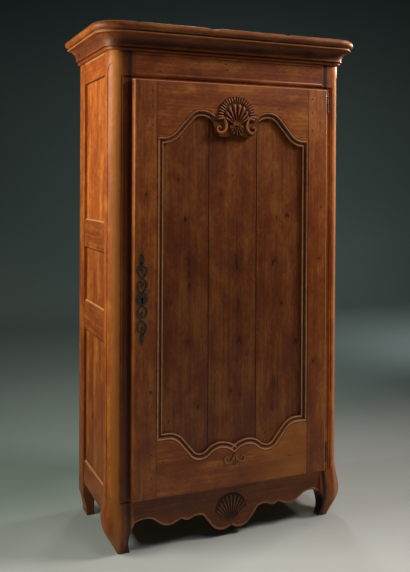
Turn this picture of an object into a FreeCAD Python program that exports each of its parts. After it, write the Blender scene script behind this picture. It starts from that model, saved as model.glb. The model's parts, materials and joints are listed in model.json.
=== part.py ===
"""A one-door French bonnetiere cupboard, framed and pegged, with its door on two barrel hinges.

Frame: X across the front, Y from the front to the back, Z up, millimetres.
The origin is on the floor, at the middle of the box that the whole cupboard fills.
"""
import FreeCAD, Part
import math
import os
import re
import Sketcher

PARTS_FOLDER = "parts"
X_AXIS = FreeCAD.Vector(1, 0, 0)
Y_AXIS = FreeCAD.Vector(0, 1, 0)
Z_AXIS = FreeCAD.Vector(0, 0, 1)

# ---------------------------------------------------------------------------------------------
# Driving dimensions, in millimetres and degrees. Every name has an underscore.
# ---------------------------------------------------------------------------------------------
DIMENSIONS = {
    # carcass
    "body_width": 1048.0,
    "body_depth": 490.0,
    "body_height": 1984.0,
    "post_width": 98.0,
    "post_depth": 87.0,
    "corner_radius": 45.0,
    "rear_post_width": 81.0,
    "rear_post_thick": 50.0,
    "rear_foot_height": 90.0,
    "rear_foot_taper": 18.0,
    # strip beside the door on each front post: sunk band, bead, groove, rounded column
    "band_width": 44.0,
    "band_depth": 5.0,
    "band_foot": 206.0,
    "band_head": 1886.0,
    "bead_radius": 4.0,
    "groove_width": 3.5,
    "column_sink": 2.0,
    "column_foot": 222.0,
    "column_spring": 1902.0,
    # cabriole front feet
    "foot_height": 222.0,
    "knee_height": 122.0,
    "knee_swell": 12.0,
    "toe_width": 50.0,
    "toe_depth": 36.0,
    "toe_corner": 12.0,
    "foot_hollow": 129.0,
    "toe_inset": 43.0,
    "toe_setback": 20.0,
    # frieze and apron rails
    "rail_thick": 30.0,
    "tenon_thick": 10.0,
    "tenon_length": 45.0,
    "tenon_shoulder": 10.0,
    "opening_top": 1861.0,
    "opening_bottom": 227.0,
    "frieze_bead": 7.0,
    "frieze_strip": 11.0,
    "strip_proud": 3.0,
    "apron_spring": 119.0,
    "pendant_low": 33.0,
    "pendant_radius": 61.0,
    # sides
    "side_rail_thick": 28.0,
    "side_rail_sink": 2.0,
    "side_chamfer": 8.0,
    "side_tenon": 40.0,
    "panel_thick": 12.0,
    "panel_sink": 12.0,
    "panel_tongue": 10.0,
    "top_rail_low": 1892.0,
    "upper_rail_low": 1184.0,
    "upper_rail_high": 1308.0,
    "lower_rail_low": 826.0,
    "lower_rail_high": 955.0,
    "foot_rail_low": 145.0,
    "foot_rail_high": 248.0,
    # back
    "back_board_thick": 14.0,
    "back_rail_thick": 28.0,
    "back_rebate": 20.0,
    "back_board_low": 150.0,
    "back_board_gap": 1.2,
    # inside
    "floor_thick": 18.0,
    "floor_split": 20.0,
    "shelf_thick": 20.0,
    "bearer_width": 24.0,
    "bearer_height": 30.0,
    "shelf_setback": 4.0,
    "shelf_low_top": 790.0,
    "shelf_high_top": 1370.0,
    "fit_gap": 1.0,
    # cornice
    "cornice_reach": 70.0,
    "cornice_height": 104.0,
    "cornice_rim": 19.0,
    "crown_bead": 14.0,
    "crown_step": 20.0,
    "cavetto_reach": 56.0,
    "cavetto_rise": 60.0,
    "small_bead": 8.0,
    "nosing_radius": 16.0,
    "cornice_foot": 38.0,
    "cornice_foot_high": 22.0,
    "cornice_wall": 14.0,
    "roof_ledge": 24.0,
    "roof_board_thick": 14.0,
    "roof_split": 30.0,
    "cornice_back_thick": 22.0,
    # door
    "door_width": 872.0,
    "door_height": 1654.0,
    "door_bottom": 217.0,
    "door_proud": 33.0,
    "door_thick": 36.0,
    "door_edge_round": 7.0,
    "hinge_edge_chamfer": 5.0,
    "stile_width": 94.0,
    "sticking_width": 27.0,
    "sticking_depth": 16.0,
    "door_tongue": 10.0,
    "door_tenon_length": 60.0,
    "joint_left": -115.0,
    "joint_right": 102.0,
    # arched top rail of the door
    "arch_corner": 1648.0,
    "arch_rise": 115.0,
    "arch_crown": 152.0,
    "arch_radius": 75.0,
    "arch_slope": 48.5,
    "arch_inner_radius": 95.0,
    "arch_inner_turn": 50.0,
    # waved bottom rail of the door
    "wave_corner": 444.0,
    "wave_drop": 100.0,
    "wave_valley": 152.0,
    "wave_radius": 60.0,
    "wave_slope": 50.0,
    "wave_hump": 62.0,
    "wave_hump_rise": 36.0,
    "wave_centre_radius": 80.0,
    # shell on the top rail
    "shell_height": 1703.0,
    "shell_centre": 1743.0,
    "shell_crest": 52.0,
    "shell_radius": 77.0,
    "shell_relief": 11.0,
    "shell_rim_relief": 5.0,
    "shell_hub": 9.0,
    "shell_half_width": 84.0,
    "shell_hang": 1664.0,
    # barrel hinges
    "hinge_reach": 10.0,
    "hinge_depth": 16.0,
    "barrel_radius": 7.0,
    "pin_radius": 4.0,
    "pin_clearance": 0.06,
    "knuckle_height": 34.0,
    "knuckle_gap": 0.4,
    "finial_height": 13.0,
    "leaf_thick": 3.0,
    "leaf_height": 30.0,
    "leaf_length": 42.0,
    "hinge_low": 295.0,
    "hinge_high": 1814.0,
    # lock
    "lock_height": 1018.0,
    "lock_width": 100.0,
    "lock_tall": 90.0,
    "lock_deep": 22.0,
    "lock_setback": 6.0,
    "bolt_length": 58.0,
    "bolt_tall": 24.0,
    "bolt_thick": 8.0,
    "bolt_throw": 12.0,
    "bolt_clearance": 0.5,
    "keeper_thick": 2.5,
    "keeper_margin": 9.0,
    "key_column": 33.0,
    "keyhole_tall": 20.0,
    "keyhole_wide": 5.0,
    # pierced lock plate
    "plate_thick": 2.5,
    "plate_bar": 5.0,
    "plate_boss_wide": 22.0,
    "plate_boss_tall": 28.0,
    # pegs
    "peg_radius": 4.0,
    "peg_proud": 0.8,
    "frame_peg_length": 26.0,
}

document = FreeCAD.newDocument("bonnetiere")
sheet = document.addObject("Spreadsheet::Sheet", "Sizes")
for row, (alias, value) in enumerate(DIMENSIONS.items(), start=1):
    sheet.set(f"A{row}", alias.replace("_", " "))
    sheet.set(f"B{row}", str(value))
    sheet.setAlias(f"B{row}", alias)
document.recompute()

# Faces and edges that many pieces share, as expressions in the sheet's names.
HALF = "(body_width / 2)"
FRONT = "((cornice_reach - body_depth) / 2)"
BACK = "((cornice_reach + body_depth) / 2)"
POST_IN = f"({HALF} - post_width)"
POST_BACK = f"({FRONT} + post_depth)"
REAR_POST_FRONT = f"({BACK} - rear_post_width)"
REAR_POST_IN = f"({HALF} - rear_post_thick)"
RAIL_BACK = f"({FRONT} + rail_thick)"
BAND_FACE = f"({FRONT} + band_depth)"
BOARDS_FRONT = f"({BACK} - back_board_thick)"
SIDE_FACE = f"({HALF} - side_rail_sink)"
SIDE_INNER = f"({SIDE_FACE} - side_rail_thick)"
PANEL_FACE = f"({HALF} - panel_sink)"
PANEL_INNER = f"({PANEL_FACE} - panel_thick)"
DOOR_HALF = "(door_width / 2)"
DOOR_FRONT = f"({FRONT} - door_proud)"
DOOR_BACK = f"({DOOR_FRONT} + door_thick)"
DOOR_TOP = "(door_bottom + door_height)"
STILE_IN = f"({DOOR_HALF} - stile_width)"
PANEL_FRONT = f"({DOOR_FRONT} + sticking_depth)"
PANEL_BACK = f"({PANEL_FRONT} + panel_thick)"
HINGE_X = f"({DOOR_HALF} + hinge_reach)"
HINGE_Y = f"({DOOR_FRONT} + hinge_depth)"
BOLT_Y = f"({DOOR_BACK} + lock_deep / 2)"
LOCK_EDGE = f"(-{POST_IN} + lock_setback)"
KEY_X = f"(-{DOOR_HALF} + key_column)"


def sized(text):
    """Point each of the sheet's names in an expression at the sheet."""
    return re.sub(r"\b[a-z]+(?:_[a-z]+)+\b", lambda name: "Sizes." + name.group(0), text)


def number(text):
    """The value of an expression, for geometry that is laid out in code."""
    return float(sheet.evalExpression(sized(text)))


# ---------------------------------------------------------------------------------------------
# Small makers: blocks, prisms from drawn outlines, turned shapes, cuts and joins
# ---------------------------------------------------------------------------------------------
SKETCH_PLANES = {
    "plan": (FreeCAD.Rotation(), Z_AXIS, "z"),
    "front": (FreeCAD.Rotation(X_AXIS, 90), Y_AXIS, "y"),
    "side": (FreeCAD.Rotation(FreeCAD.Vector(1, 1, 1), 120), X_AXIS, "x"),
}


def box(name, across, along, up):
    """A squared block between two expressions on each of X, Y and Z."""
    block = document.addObject("Part::Box", name)
    for side, letter, (low, high) in zip(("Length", "Width", "Height"), "xyz", (across, along, up)):
        block.setExpression(side, sized(f"({high}) - ({low})"))
        block.setExpression(f".Placement.Base.{letter}", sized(low))
    return block


def cylinder(name, radius, height, place, turn=None):
    """A round bar whose foot is at three expressions, standing up or laid along a turned axis."""
    bar = document.addObject("Part::Cylinder", name)
    bar.setExpression("Radius", sized(radius))
    bar.setExpression("Height", sized(height))
    if turn:
        bar.Placement = FreeCAD.Placement(FreeCAD.Vector(), turn)
    for letter, text in zip("xyz", place):
        bar.setExpression(f".Placement.Base.{letter}", sized(text))
    return bar


def fuse(name, pieces):
    """One solid from pieces that touch or overlap."""
    joined = document.addObject("Part::MultiFuse", name)
    joined.Shapes = pieces
    joined.Refine = True
    return joined


def cut(name, base, tools):
    """The base with every tool taken out of it."""
    result = document.addObject("Part::Cut", name)
    result.Base = base
    result.Tool = tools[0] if len(tools) == 1 else fuse(name + "_tools", tools)
    result.Refine = True
    return result


def common(name, first, second):
    """What two solids share."""
    shared = document.addObject("Part::Common", name)
    shared.Base = first
    shared.Tool = second
    return shared


def mirrored(name, source):
    """The same piece for the other side of the cupboard."""
    twin = document.addObject("Part::Mirroring", name)
    twin.Source = source
    twin.Normal = X_AXIS
    return twin


def arc_edge(start, end, radius):
    """An arc between two points, with its centre on the left of the travel for a positive radius."""
    chord = end - start
    half = chord.Length / 2
    normal = FreeCAD.Vector(-chord.y, chord.x, 0).normalize()
    side = math.copysign(1.0, radius)
    centre = start + chord * 0.5 + normal * side * math.sqrt(max(0.0, radius * radius - half * half))
    middle = centre - normal * side * abs(radius)
    return Part.Arc(start, middle, end) if radius > 0 else Part.Arc(end, middle, start)


def sketch(name, plane, corners, level="0"):
    """A closed outline. A corner is (x, y), or (x, y, radius) where an arc leads to it."""
    turn, _, letter = SKETCH_PLANES[plane]
    drawing = document.addObject("Sketcher::SketchObject", name)
    drawing.Placement = FreeCAD.Placement(FreeCAD.Vector(), turn)
    drawing.setExpression(f".Placement.Base.{letter}", sized(level))
    spots = [FreeCAD.Vector(number(corner[0]), number(corner[1]), 0) for corner in corners]
    ends = []
    for index, (corner, spot) in enumerate(zip(corners, spots)):
        before = spots[index - 1]
        is_arc = len(corner) == 3
        edge = arc_edge(before, spot, number(corner[2])) if is_arc else Part.LineSegment(before, spot)
        drawing.addGeometry(edge)
        swapped = (edge.StartPoint - before).Length > (edge.EndPoint - before).Length
        ends.append((2, 1) if swapped else (1, 2))
    for index, corner in enumerate(corners):
        following = (index + 1) % len(corners)
        drawing.addConstraint(
            Sketcher.Constraint("Coincident", index, ends[index][1], following, ends[following][0]))
        for kind, text, value in zip(("DistanceX", "DistanceY"), corner, spots[index]):
            place = drawing.addConstraint(Sketcher.Constraint(kind, index, ends[index][1], value))
            drawing.setExpression(f"Constraints[{place}]", sized(text))
        if len(corner) == 3:
            bend = Sketcher.Constraint("Radius", index, abs(number(corner[2])))
            place = drawing.addConstraint(bend)
            drawing.setExpression(f"Constraints[{place}]", sized(f"abs({corner[2]})"))
    return drawing


def extruded(name, outline, direction, length):
    """An outline or a face carried straight along one axis."""
    body = document.addObject("Part::Extrusion", name)
    body.Base = outline
    body.DirMode = "Custom"
    body.Dir = direction
    body.Solid = True
    body.setExpression("LengthFwd", sized(length))
    return body


def prism(name, plane, corners, low, high):
    """A drawn outline carried from one level to another, square to its plane."""
    drawing = sketch(name + "_outline", plane, corners, low)
    return extruded(name, drawing, SKETCH_PLANES[plane][1], f"({high}) - ({low})")


def turned(name, outline, centre, start, angle):
    """An outline swung about an upright axis through centre, from a start angle."""
    body = document.addObject("Part::Revolution", name)
    body.Source = outline
    body.Axis = Z_AXIS
    body.Solid = True
    body.Angle = angle
    for letter, text in zip("xy", centre):
        body.setExpression(f".Base.{letter}", sized(text))
    if start:
        body.Placement = FreeCAD.Placement(
            FreeCAD.Vector(), FreeCAD.Rotation(Z_AXIS, start),
            FreeCAD.Vector(number(centre[0]), number(centre[1]), 0))
    return body


def shape(name, solid):
    """A piece that is laid out in code from the sheet's values."""
    feature = document.addObject("Part::Feature", name)
    feature.Shape = solid
    return feature


# ---------------------------------------------------------------------------------------------
# Runs in the plane of the door: lines and arcs that flow into each other
# ---------------------------------------------------------------------------------------------
def walk(start, heading, moves):
    """The steps of a run. A move is (length,), or (radius, turn) with a left turn positive."""
    steps = []
    x, z = start
    for move in moves:
        steps.append((x, z, heading, move))
        direction = math.radians(heading)
        if len(move) == 1:
            x += move[0] * math.cos(direction)
            z += move[0] * math.sin(direction)
        else:
            radius, turn = move
            side = math.copysign(radius, turn)
            after = math.radians(heading + turn)
            x += side * (math.sin(after) - math.sin(direction))
            z += side * (math.cos(direction) - math.cos(after))
            heading += turn
    steps.append((x, z, heading, None))
    return steps


def beside(step, offset, level):
    """The point a distance to the left of a step, at a depth."""
    x, z, heading, _ = step
    direction = math.radians(heading)
    return FreeCAD.Vector(x - offset * math.sin(direction), level, z + offset * math.cos(direction))


def run_edges(steps, offset, level):
    """The edges of a run shifted to its left."""
    edges = []
    for step, following in zip(steps, steps[1:]):
        start = beside(step, offset, level)
        end = beside(following, offset, level)
        move = step[3]
        if len(move) == 1:
            edges.append(Part.LineSegment(start, end).toShape())
        else:
            radius, turn = move
            half_way = walk(step[:2], step[2], [(radius, turn / 2)])[-1]
            edges.append(Part.Arc(start, beside(half_way, offset, level), end).toShape())
    return edges


def run_moulding(steps, section, level):
    """A solid moulding that follows a run; the section is in (distance to the left, depth)."""
    pieces = []
    for step in steps[:-1]:
        corners = [beside(step, across, level + deep) for across, deep in section]
        face = Part.Face(Part.makePolygon(corners + corners[:1]))
        move = step[3]
        if len(move) == 1:
            direction = math.radians(step[2])
            pieces.append(face.extrude(FreeCAD.Vector(math.cos(direction), 0, math.sin(direction)) * move[0]))
        else:
            radius, turn = move
            centre = beside(step, math.copysign(radius, turn), level)
            pieces.append(face.revolve(centre, Y_AXIS * -math.copysign(1.0, turn), abs(turn)))
    return pieces[0].fuse(pieces[1:]).removeSplitter()


def closed_face(edges):
    """A face inside edges given in any order."""
    return Part.Face(Part.Wire(Part.__sortEdges__(edges)))


# ---------------------------------------------------------------------------------------------
# Side panels and side rails (drawn for the right-hand side)
# ---------------------------------------------------------------------------------------------
def side_panel(name, low, high):
    """A flat panel that sits in grooves of the posts and of the rails below and above it."""
    return box(
        name, (PANEL_INNER, PANEL_FACE),
        (f"{POST_BACK} - panel_tongue", f"{REAR_POST_FRONT} + panel_tongue"),
        (f"{low} - panel_tongue", f"{high} + panel_tongue"))


def side_tenons(name, low, high):
    """The tenons of a side rail in its front and its rear post."""
    across = (f"{SIDE_INNER} + 9", f"{SIDE_INNER} + 9 + tenon_thick")
    up = (f"{low} + tenon_shoulder", f"{high} - tenon_shoulder")
    front = box(name + "_front_tenon", across, (f"{POST_BACK} - side_tenon", POST_BACK), up)
    rear = box(name + "_rear_tenon", across, (REAR_POST_FRONT, f"{REAR_POST_FRONT} + side_tenon"), up)
    return [front, rear]


def side_rail(name, low, high, tenons, panels, chamfered):
    """A rail between the posts, grooved for its panels, with a chamfer under the panel above."""
    body = box(name + "_body", (SIDE_INNER, SIDE_FACE), (POST_BACK, REAR_POST_FRONT), (low, high))
    cutters = list(panels)
    if chamfered:
        cutters.append(prism(name + "_chamfer", "front", [
            (SIDE_FACE, f"{high} - side_chamfer"),
            (f"{SIDE_FACE} + 5", f"{high} - side_chamfer"),
            (f"{SIDE_FACE} + 5", f"{high} + 5"),
            (f"{SIDE_FACE} - side_chamfer", f"{high} + 5"),
            (f"{SIDE_FACE} - side_chamfer", high),
        ], POST_BACK, REAR_POST_FRONT))
    return cut(name, fuse(name + "_blank", [body] + tenons), cutters)


SIDE_LEVELS = {
    "foot": ("foot_rail_low", "foot_rail_high"),
    "lower": ("lower_rail_low", "lower_rail_high"),
    "upper": ("upper_rail_low", "upper_rail_high"),
    "top": ("top_rail_low", "body_height"),
}
side_panels = [
    side_panel("side_panel_low_right", "foot_rail_high", "lower_rail_low"),
    side_panel("side_panel_middle_right", "lower_rail_high", "upper_rail_low"),
    side_panel("side_panel_high_right", "upper_rail_high", "top_rail_low"),
]
side_joints = {level: side_tenons(f"side_{level}", *span) for level, span in SIDE_LEVELS.items()}
side_rails = []
for place, (level, span) in enumerate(SIDE_LEVELS.items()):
    beside_it = side_panels[max(0, place - 1):place + 1]
    side_rails.append(
        side_rail(f"side_rail_{level}_right", *span, side_joints[level], beside_it, level != "top"))
front_side_tenons = [pair[0] for pair in side_joints.values()]
rear_side_tenons = [pair[1] for pair in side_joints.values()]


# ---------------------------------------------------------------------------------------------
# Frieze rail over the door and scalloped apron rail under it
# ---------------------------------------------------------------------------------------------
def front_tenons(name, low, high):
    """The pair of tenons of a front rail, right and left."""
    tenon_back = f"{FRONT} + 10 + tenon_thick"
    right = box(
        name + "_right_tenon", (POST_IN, f"{POST_IN} + tenon_length"),
        (f"{FRONT} + 10", tenon_back), (f"{low} + tenon_shoulder", f"{high} - tenon_shoulder"))
    return [right, mirrored(name + "_left_tenon", right)]


def with_twin(corners):
    """A run of corners given from the middle to the right, led in by its mirror image."""
    left = []
    for index in range(len(corners) - 1, 0, -1):
        across, up = corners[index][:2]
        bend = corners[index + 1][2:] if index + 1 < len(corners) else ()
        left.append((f"-({across})", up) + tuple(bend))
    middle = corners[0][:2] + tuple(corners[1][2:])
    return left + [middle] + corners[1:]


frieze_tenons = front_tenons("frieze", "opening_top", "body_height")
frieze_face = prism("frieze_face", "side", [
    (RAIL_BACK, "opening_top"),
    (RAIL_BACK, "body_height"),
    (f"{FRONT} - strip_proud", "body_height"),
    (f"{FRONT} - strip_proud", "body_height - frieze_strip"),
    (FRONT, "body_height - frieze_strip"),
    (FRONT, "band_head + 1 + 2 * frieze_bead"),
    (FRONT, "band_head + 1", "9.7"),
    (FRONT, "band_head"),
    (BAND_FACE, "band_head"),
    (BAND_FACE, "opening_top"),
], f"-{POST_IN}", POST_IN)
frieze_rail = fuse("frieze_rail_blank", [frieze_face] + frieze_tenons)

# The apron's lower edge from the middle to the right: pendant, small lobe, wide lobe, arch.
APRON_EDGE = [
    ("0", "pendant_low + 10"),
    ("8", "pendant_low + 7"),
    ("88", "pendant_low + 23", "pendant_radius"),
    ("125", "pendant_low + 70"),
    ("178", "pendant_low + 70", "-57"),
    ("220", "pendant_low + 76", "35"),
    ("245", "pendant_low + 65"),
    ("310", "pendant_low + 68", "63"),
    ("345", "apron_spring + 7"),
    (POST_IN, "apron_spring", "-95"),
]
apron_tenons = front_tenons("apron", "apron_spring", "opening_bottom")
apron_board = prism(
    "apron_board", "front",
    with_twin(APRON_EDGE) + [(POST_IN, "opening_bottom"), (f"-{POST_IN}", "opening_bottom")],
    FRONT, RAIL_BACK)
apron_sunk = box(
    "apron_sunk", (f"-{POST_IN}", POST_IN), (f"{FRONT} - 5", BAND_FACE), ("band_foot", "opening_bottom + 5"))
apron_rail = fuse("apron_rail_blank", [cut("apron_face", apron_board, [apron_sunk])] + apron_tenons)


# ---------------------------------------------------------------------------------------------
# Front posts with their rounded columns and cabriole feet
# ---------------------------------------------------------------------------------------------
FOOT_STATIONS = (0.0, 0.13, 0.27, 0.41, 0.55, 0.75, 1.0)
ANKLE_TURN = 135


def post_section(name, level, outset, foreset, radius):
    """The post's plan at a level: pushed out and forward, with its outer corner rounded."""
    out = f"({HALF} + {outset})"
    front = f"({FRONT} - ({foreset}))"
    return sketch(name, "plan", [
        (POST_IN, front),
        (f"{out} - ({radius})", front),
        (out, f"{front} + ({radius})", radius),
        (out, POST_BACK),
        (POST_IN, POST_BACK),
    ], level)


def foot_section(name, share):
    """The foot's plan at a share of its height: it swells to the knee and draws in to the toe."""
    knee = number("knee_height / foot_height")
    above = max(0.0, (share - knee) / (1 - knee))
    below = max(0.0, 1 - share / knee)
    swell = (1 + math.cos(math.pi * above)) / 2
    fall = (1 - math.cos(math.radians(ANKLE_TURN * below))) / (1 - math.cos(math.radians(ANKLE_TURN)))
    return post_section(
        name, f"foot_height * {share}",
        f"knee_swell * {swell:.4f} - (knee_swell + toe_inset) * {fall:.4f}",
        f"knee_swell * {swell:.4f} - (knee_swell + toe_setback) * {fall:.4f}",
        f"corner_radius - (corner_radius - toe_corner) * {below:.4f}")


front_foot = document.addObject("Part::Loft", "front_foot")
front_foot.Sections = [foot_section(f"foot_plan_{index}", share) for index, share in enumerate(FOOT_STATIONS)]
front_foot.Solid = True
post_block = extruded(
    "post_block", post_section("post_plan", "foot_height", "0", "0", "corner_radius"),
    Z_AXIS, "body_height - foot_height")

TOE_IN = f"({HALF} - toe_inset - toe_width)"
TOE_REAR = f"({FRONT} + toe_setback + toe_depth)"
TOE_RUN = f"({POST_BACK} - {TOE_REAR})"
inner_hollow = prism("inner_hollow", "front", [
    (f"{POST_IN} - 5", "-5"),
    (TOE_IN, "-5"),
    (TOE_IN, "0"),
    (POST_IN, "apron_spring", "foot_hollow"),
    (f"{POST_IN} - 5", "apron_spring"),
], f"{FRONT} - 40", f"{POST_BACK} + 5")
rear_hollow = prism("rear_hollow", "side", [
    (TOE_REAR, "-5"),
    (f"{POST_BACK} + 5", "-5"),
    (f"{POST_BACK} + 5", "foot_rail_low"),
    (POST_BACK, "foot_rail_low"),
    (TOE_REAR, "0", f"({TOE_RUN} * {TOE_RUN} + foot_rail_low * foot_rail_low) / (2 * {TOE_RUN})"),
], f"{POST_IN} - 20", f"{HALF} + 30")

BEAD_X = f"({POST_IN} + band_width + bead_radius)"
GROOVE_END = f"({BEAD_X} + bead_radius + groove_width)"
COLUMN_X = f"({HALF} - corner_radius)"
COLUMN_Y = f"({FRONT} + corner_radius)"
band_cut = box(
    "band_cut", (f"{POST_IN} - 5", GROOVE_END), (f"{FRONT} - 10", BAND_FACE), ("band_foot", "band_head"))
post_bead = cylinder(
    "post_bead", "bead_radius", "band_head - band_foot", (BEAD_X, BAND_FACE, "band_foot"))


def column_sinking(name, low, high):
    """The thin layer that is taken off the rounded corner between two levels."""
    return prism(name, "plan", [
        (COLUMN_X, f"{FRONT} - 5"),
        (f"{HALF} + 5", f"{FRONT} - 5"),
        (f"{HALF} + 5", COLUMN_Y),
        (f"{HALF} - column_sink", COLUMN_Y),
        (COLUMN_X, f"{FRONT} + column_sink", "-(corner_radius - column_sink)"),
    ], low, high)


ARCH_TURN = FreeCAD.Rotation(Z_AXIS, FreeCAD.Vector(1, -1, 0))
arch_head = cylinder(
    "arch_head", "(corner_radius - column_sink) * 0.7071", "corner_radius * 2",
    (COLUMN_X, COLUMN_Y, "column_spring"), ARCH_TURN)
column_shaft = column_sinking("column_shaft", "column_foot", "column_spring")
column_top = common(
    "column_top", column_sinking("column_top_layer", "column_spring", "column_spring + corner_radius"),
    arch_head)
post_shaped = cut(
    "post_shaped", fuse("post_rough", [post_block, front_foot]),
    [inner_hollow, rear_hollow, band_cut, column_shaft, column_top])
post_beaded = fuse("post_beaded", [post_shaped, post_bead])
post_mortised = cut(
    "post_mortised", post_beaded, [frieze_tenons[0], apron_tenons[0]] + front_side_tenons + side_panels)


# ---------------------------------------------------------------------------------------------
# Rear posts, back rails and back boards
# ---------------------------------------------------------------------------------------------
rear_block = box("rear_block", (REAR_POST_IN, HALF), (REAR_POST_FRONT, BACK), ("0", "body_height"))
rear_rebate = box(
    "rear_rebate", (f"{REAR_POST_IN} - 5", f"{REAR_POST_IN} + back_rebate"), (BOARDS_FRONT, f"{BACK} + 5"),
    ("back_board_low", "body_height + 5"))
rear_taper = prism("rear_taper", "front", [
    (f"{HALF} - rear_foot_taper", "-1"),
    (f"{HALF} + 5", "-1"),
    (f"{HALF} + 5", "rear_foot_height"),
    (HALF, "rear_foot_height"),
    (f"{HALF} - rear_foot_taper", "0", "260"),
], f"{REAR_POST_FRONT} - 5", f"{BACK} + 5")
BACK_RAIL_FRONT = f"({BOARDS_FRONT} - back_rail_thick)"


def back_rail(name, low, high):
    """A rail that ties the rear posts; it comes back with its right-hand tenon for the mortise."""
    right = box(
        name + "_right_tenon", (REAR_POST_IN, f"{REAR_POST_IN} + 35"),
        (f"{BACK_RAIL_FRONT} + 9", f"{BACK_RAIL_FRONT} + 9 + tenon_thick"),
        (f"{low} + tenon_shoulder", f"{high} - tenon_shoulder"))
    body = box(
        name + "_body", (f"-{REAR_POST_IN}", REAR_POST_IN), (BACK_RAIL_FRONT, BOARDS_FRONT), (low, high))
    return fuse(name, [body, right, mirrored(name + "_left_tenon", right)]), right


back_rail_top, back_tenon_top = back_rail("back_rail_top", "top_rail_low", "body_height")
back_rail_foot, back_tenon_foot = back_rail("back_rail_foot", "foot_rail_low", "foot_rail_high")
rear_post_right = cut(
    "rear_post_right", rear_block,
    [rear_rebate, rear_taper, back_tenon_top, back_tenon_foot] + rear_side_tenons + side_panels)

BACK_HALF = f"({REAR_POST_IN} + back_rebate)"
BACK_PITCH = f"({BACK_HALF} / 2)"
back_boards = []
for place in range(4):
    left_edge = f"{place - 2} * {BACK_PITCH}"
    right_edge = f"{place - 1} * {BACK_PITCH}" + (" - back_board_gap" if place < 3 else "")
    back_boards.append(box(
        f"back_board_{place + 1}", (left_edge, right_edge), (BOARDS_FRONT, BACK),
        ("back_board_low", "body_height")))


# ---------------------------------------------------------------------------------------------
# Floor and shelves on their bearers
# ---------------------------------------------------------------------------------------------
WIDE = f"({SIDE_INNER} - shelf_setback / 2)"
NARROW = f"({REAR_POST_IN} - shelf_setback / 2)"
NOTCH_Y = f"({REAR_POST_FRONT} - shelf_setback / 2)"
BEHIND_POST = f"({POST_BACK} + shelf_setback / 2)"


def notched_board(name, front, rear, top, thick):
    """A full-width board whose back corners are notched around the rear posts."""
    return prism(name, "plan", [
        (f"-{WIDE}", front),
        (WIDE, front),
        (WIDE, NOTCH_Y),
        (NARROW, NOTCH_Y),
        (NARROW, rear),
        (f"-{NARROW}", rear),
        (f"-{NARROW}", NOTCH_Y),
        (f"-{WIDE}", NOTCH_Y),
    ], f"{top} - {thick}", top)


def bearer(name, outer, top):
    """A batten from post to post that a floor or a shelf lies on."""
    return box(
        name, (f"{outer} - bearer_width", outer), (POST_BACK, REAR_POST_FRONT),
        (f"{top} - bearer_height", top))


DOORWAY = f"({POST_IN} - shelf_setback / 2)"
floor_board_front = prism("floor_board_front", "plan", [
    (f"-{DOORWAY}", f"{RAIL_BACK} + fit_gap"),
    (DOORWAY, f"{RAIL_BACK} + fit_gap"),
    (DOORWAY, BEHIND_POST),
    (WIDE, BEHIND_POST),
    (WIDE, "floor_split"),
    (f"-{WIDE}", "floor_split"),
    (f"-{WIDE}", BEHIND_POST),
    (f"-{DOORWAY}", BEHIND_POST),
], "opening_bottom - floor_thick", "opening_bottom")
floor_board_rear = notched_board(
    "floor_board_rear", "floor_split + fit_gap", f"{BACK_RAIL_FRONT} - fit_gap",
    "opening_bottom", "floor_thick")
shelves = [
    notched_board(name, BEHIND_POST, f"{BOARDS_FRONT} - fit_gap", level, "shelf_thick")
    for name, level in (("shelf_low", "shelf_low_top"), ("shelf_high", "shelf_high_top"))
]
bearers_right = [
    bearer("floor_bearer_right", SIDE_INNER, "opening_bottom - floor_thick"),
    bearer("shelf_low_bearer_right", PANEL_INNER, "shelf_low_top - shelf_thick"),
    bearer("shelf_high_bearer_right", PANEL_INNER, "shelf_high_top - shelf_thick"),
]


# ---------------------------------------------------------------------------------------------
# Cornice and roof
# ---------------------------------------------------------------------------------------------
ROOF_LEVEL = "(cornice_height - cornice_rim)"
NOSING_X = "(cornice_reach - nosing_radius)"
NOSING_FLATS = 6
CAVETTO_FLATS = 6
# The hollow of the cornice, planed to narrow flats from the step up to its outer edge.
CAVETTO = [
    (f"cavetto_reach - (cavetto_reach - crown_step) * {math.cos(math.pi / 2 * flat / CAVETTO_FLATS):.4f}",
     f"crown_step + (cavetto_rise - crown_step) * {math.sin(math.pi / 2 * flat / CAVETTO_FLATS):.4f}")
    for flat in range(1, CAVETTO_FLATS)
]
# The round nose of the cornice, planed to narrow flats from its lower to its upper edge.
NOSING = [
    (f"{NOSING_X} + nosing_radius * {math.sin(math.pi * flat / NOSING_FLATS):.4f}",
     f"cornice_height - nosing_radius * {1 + math.cos(math.pi * flat / NOSING_FLATS):.4f}")
    for flat in range(1, NOSING_FLATS)
]
# The cornice section as (distance out from the carcass, height above it).
CORNICE_SECTION = [
    ("-cornice_foot", "0"),
    ("crown_bead / 4", "0"),
    ("crown_bead * 0.85", "crown_bead * 0.3"),
    ("crown_bead * 0.85", "crown_bead * 0.6"),
    ("crown_bead * 0.7", "crown_bead"),
    ("crown_step", "crown_bead"),
    ("crown_step", "crown_step"),
    *CAVETTO,
    ("cavetto_reach", "cavetto_rise"),
    ("cavetto_reach + small_bead * 0.4", "cavetto_rise + small_bead * 0.3"),
    ("cavetto_reach + small_bead * 0.4", "cavetto_rise + small_bead * 0.7"),
    ("cavetto_reach", "cavetto_rise + small_bead"),
    (NOSING_X, "cavetto_rise + small_bead"),
    (NOSING_X, "cornice_height - 2 * nosing_radius"),
    *NOSING,
    (NOSING_X, "cornice_height"),
    ("cornice_wall", "cornice_height"),
    ("cornice_wall", ROOF_LEVEL),
    ("cornice_wall - roof_ledge", ROOF_LEVEL),
    ("cornice_wall - roof_ledge", "cornice_foot_high"),
    ("-cornice_foot", "cornice_foot_high"),
]


def cornice_outline(name, level):
    """The cornice section standing on the front of the carcass, at a level along X."""
    corners = []
    for out, up, *bend in CORNICE_SECTION:
        turned_bend = [f"-({bend[0]})"] if bend else []
        corners.append((f"{FRONT} - ({out})", f"body_height + {up}", *turned_bend))
    return sketch(name, "side", corners, level)


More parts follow.
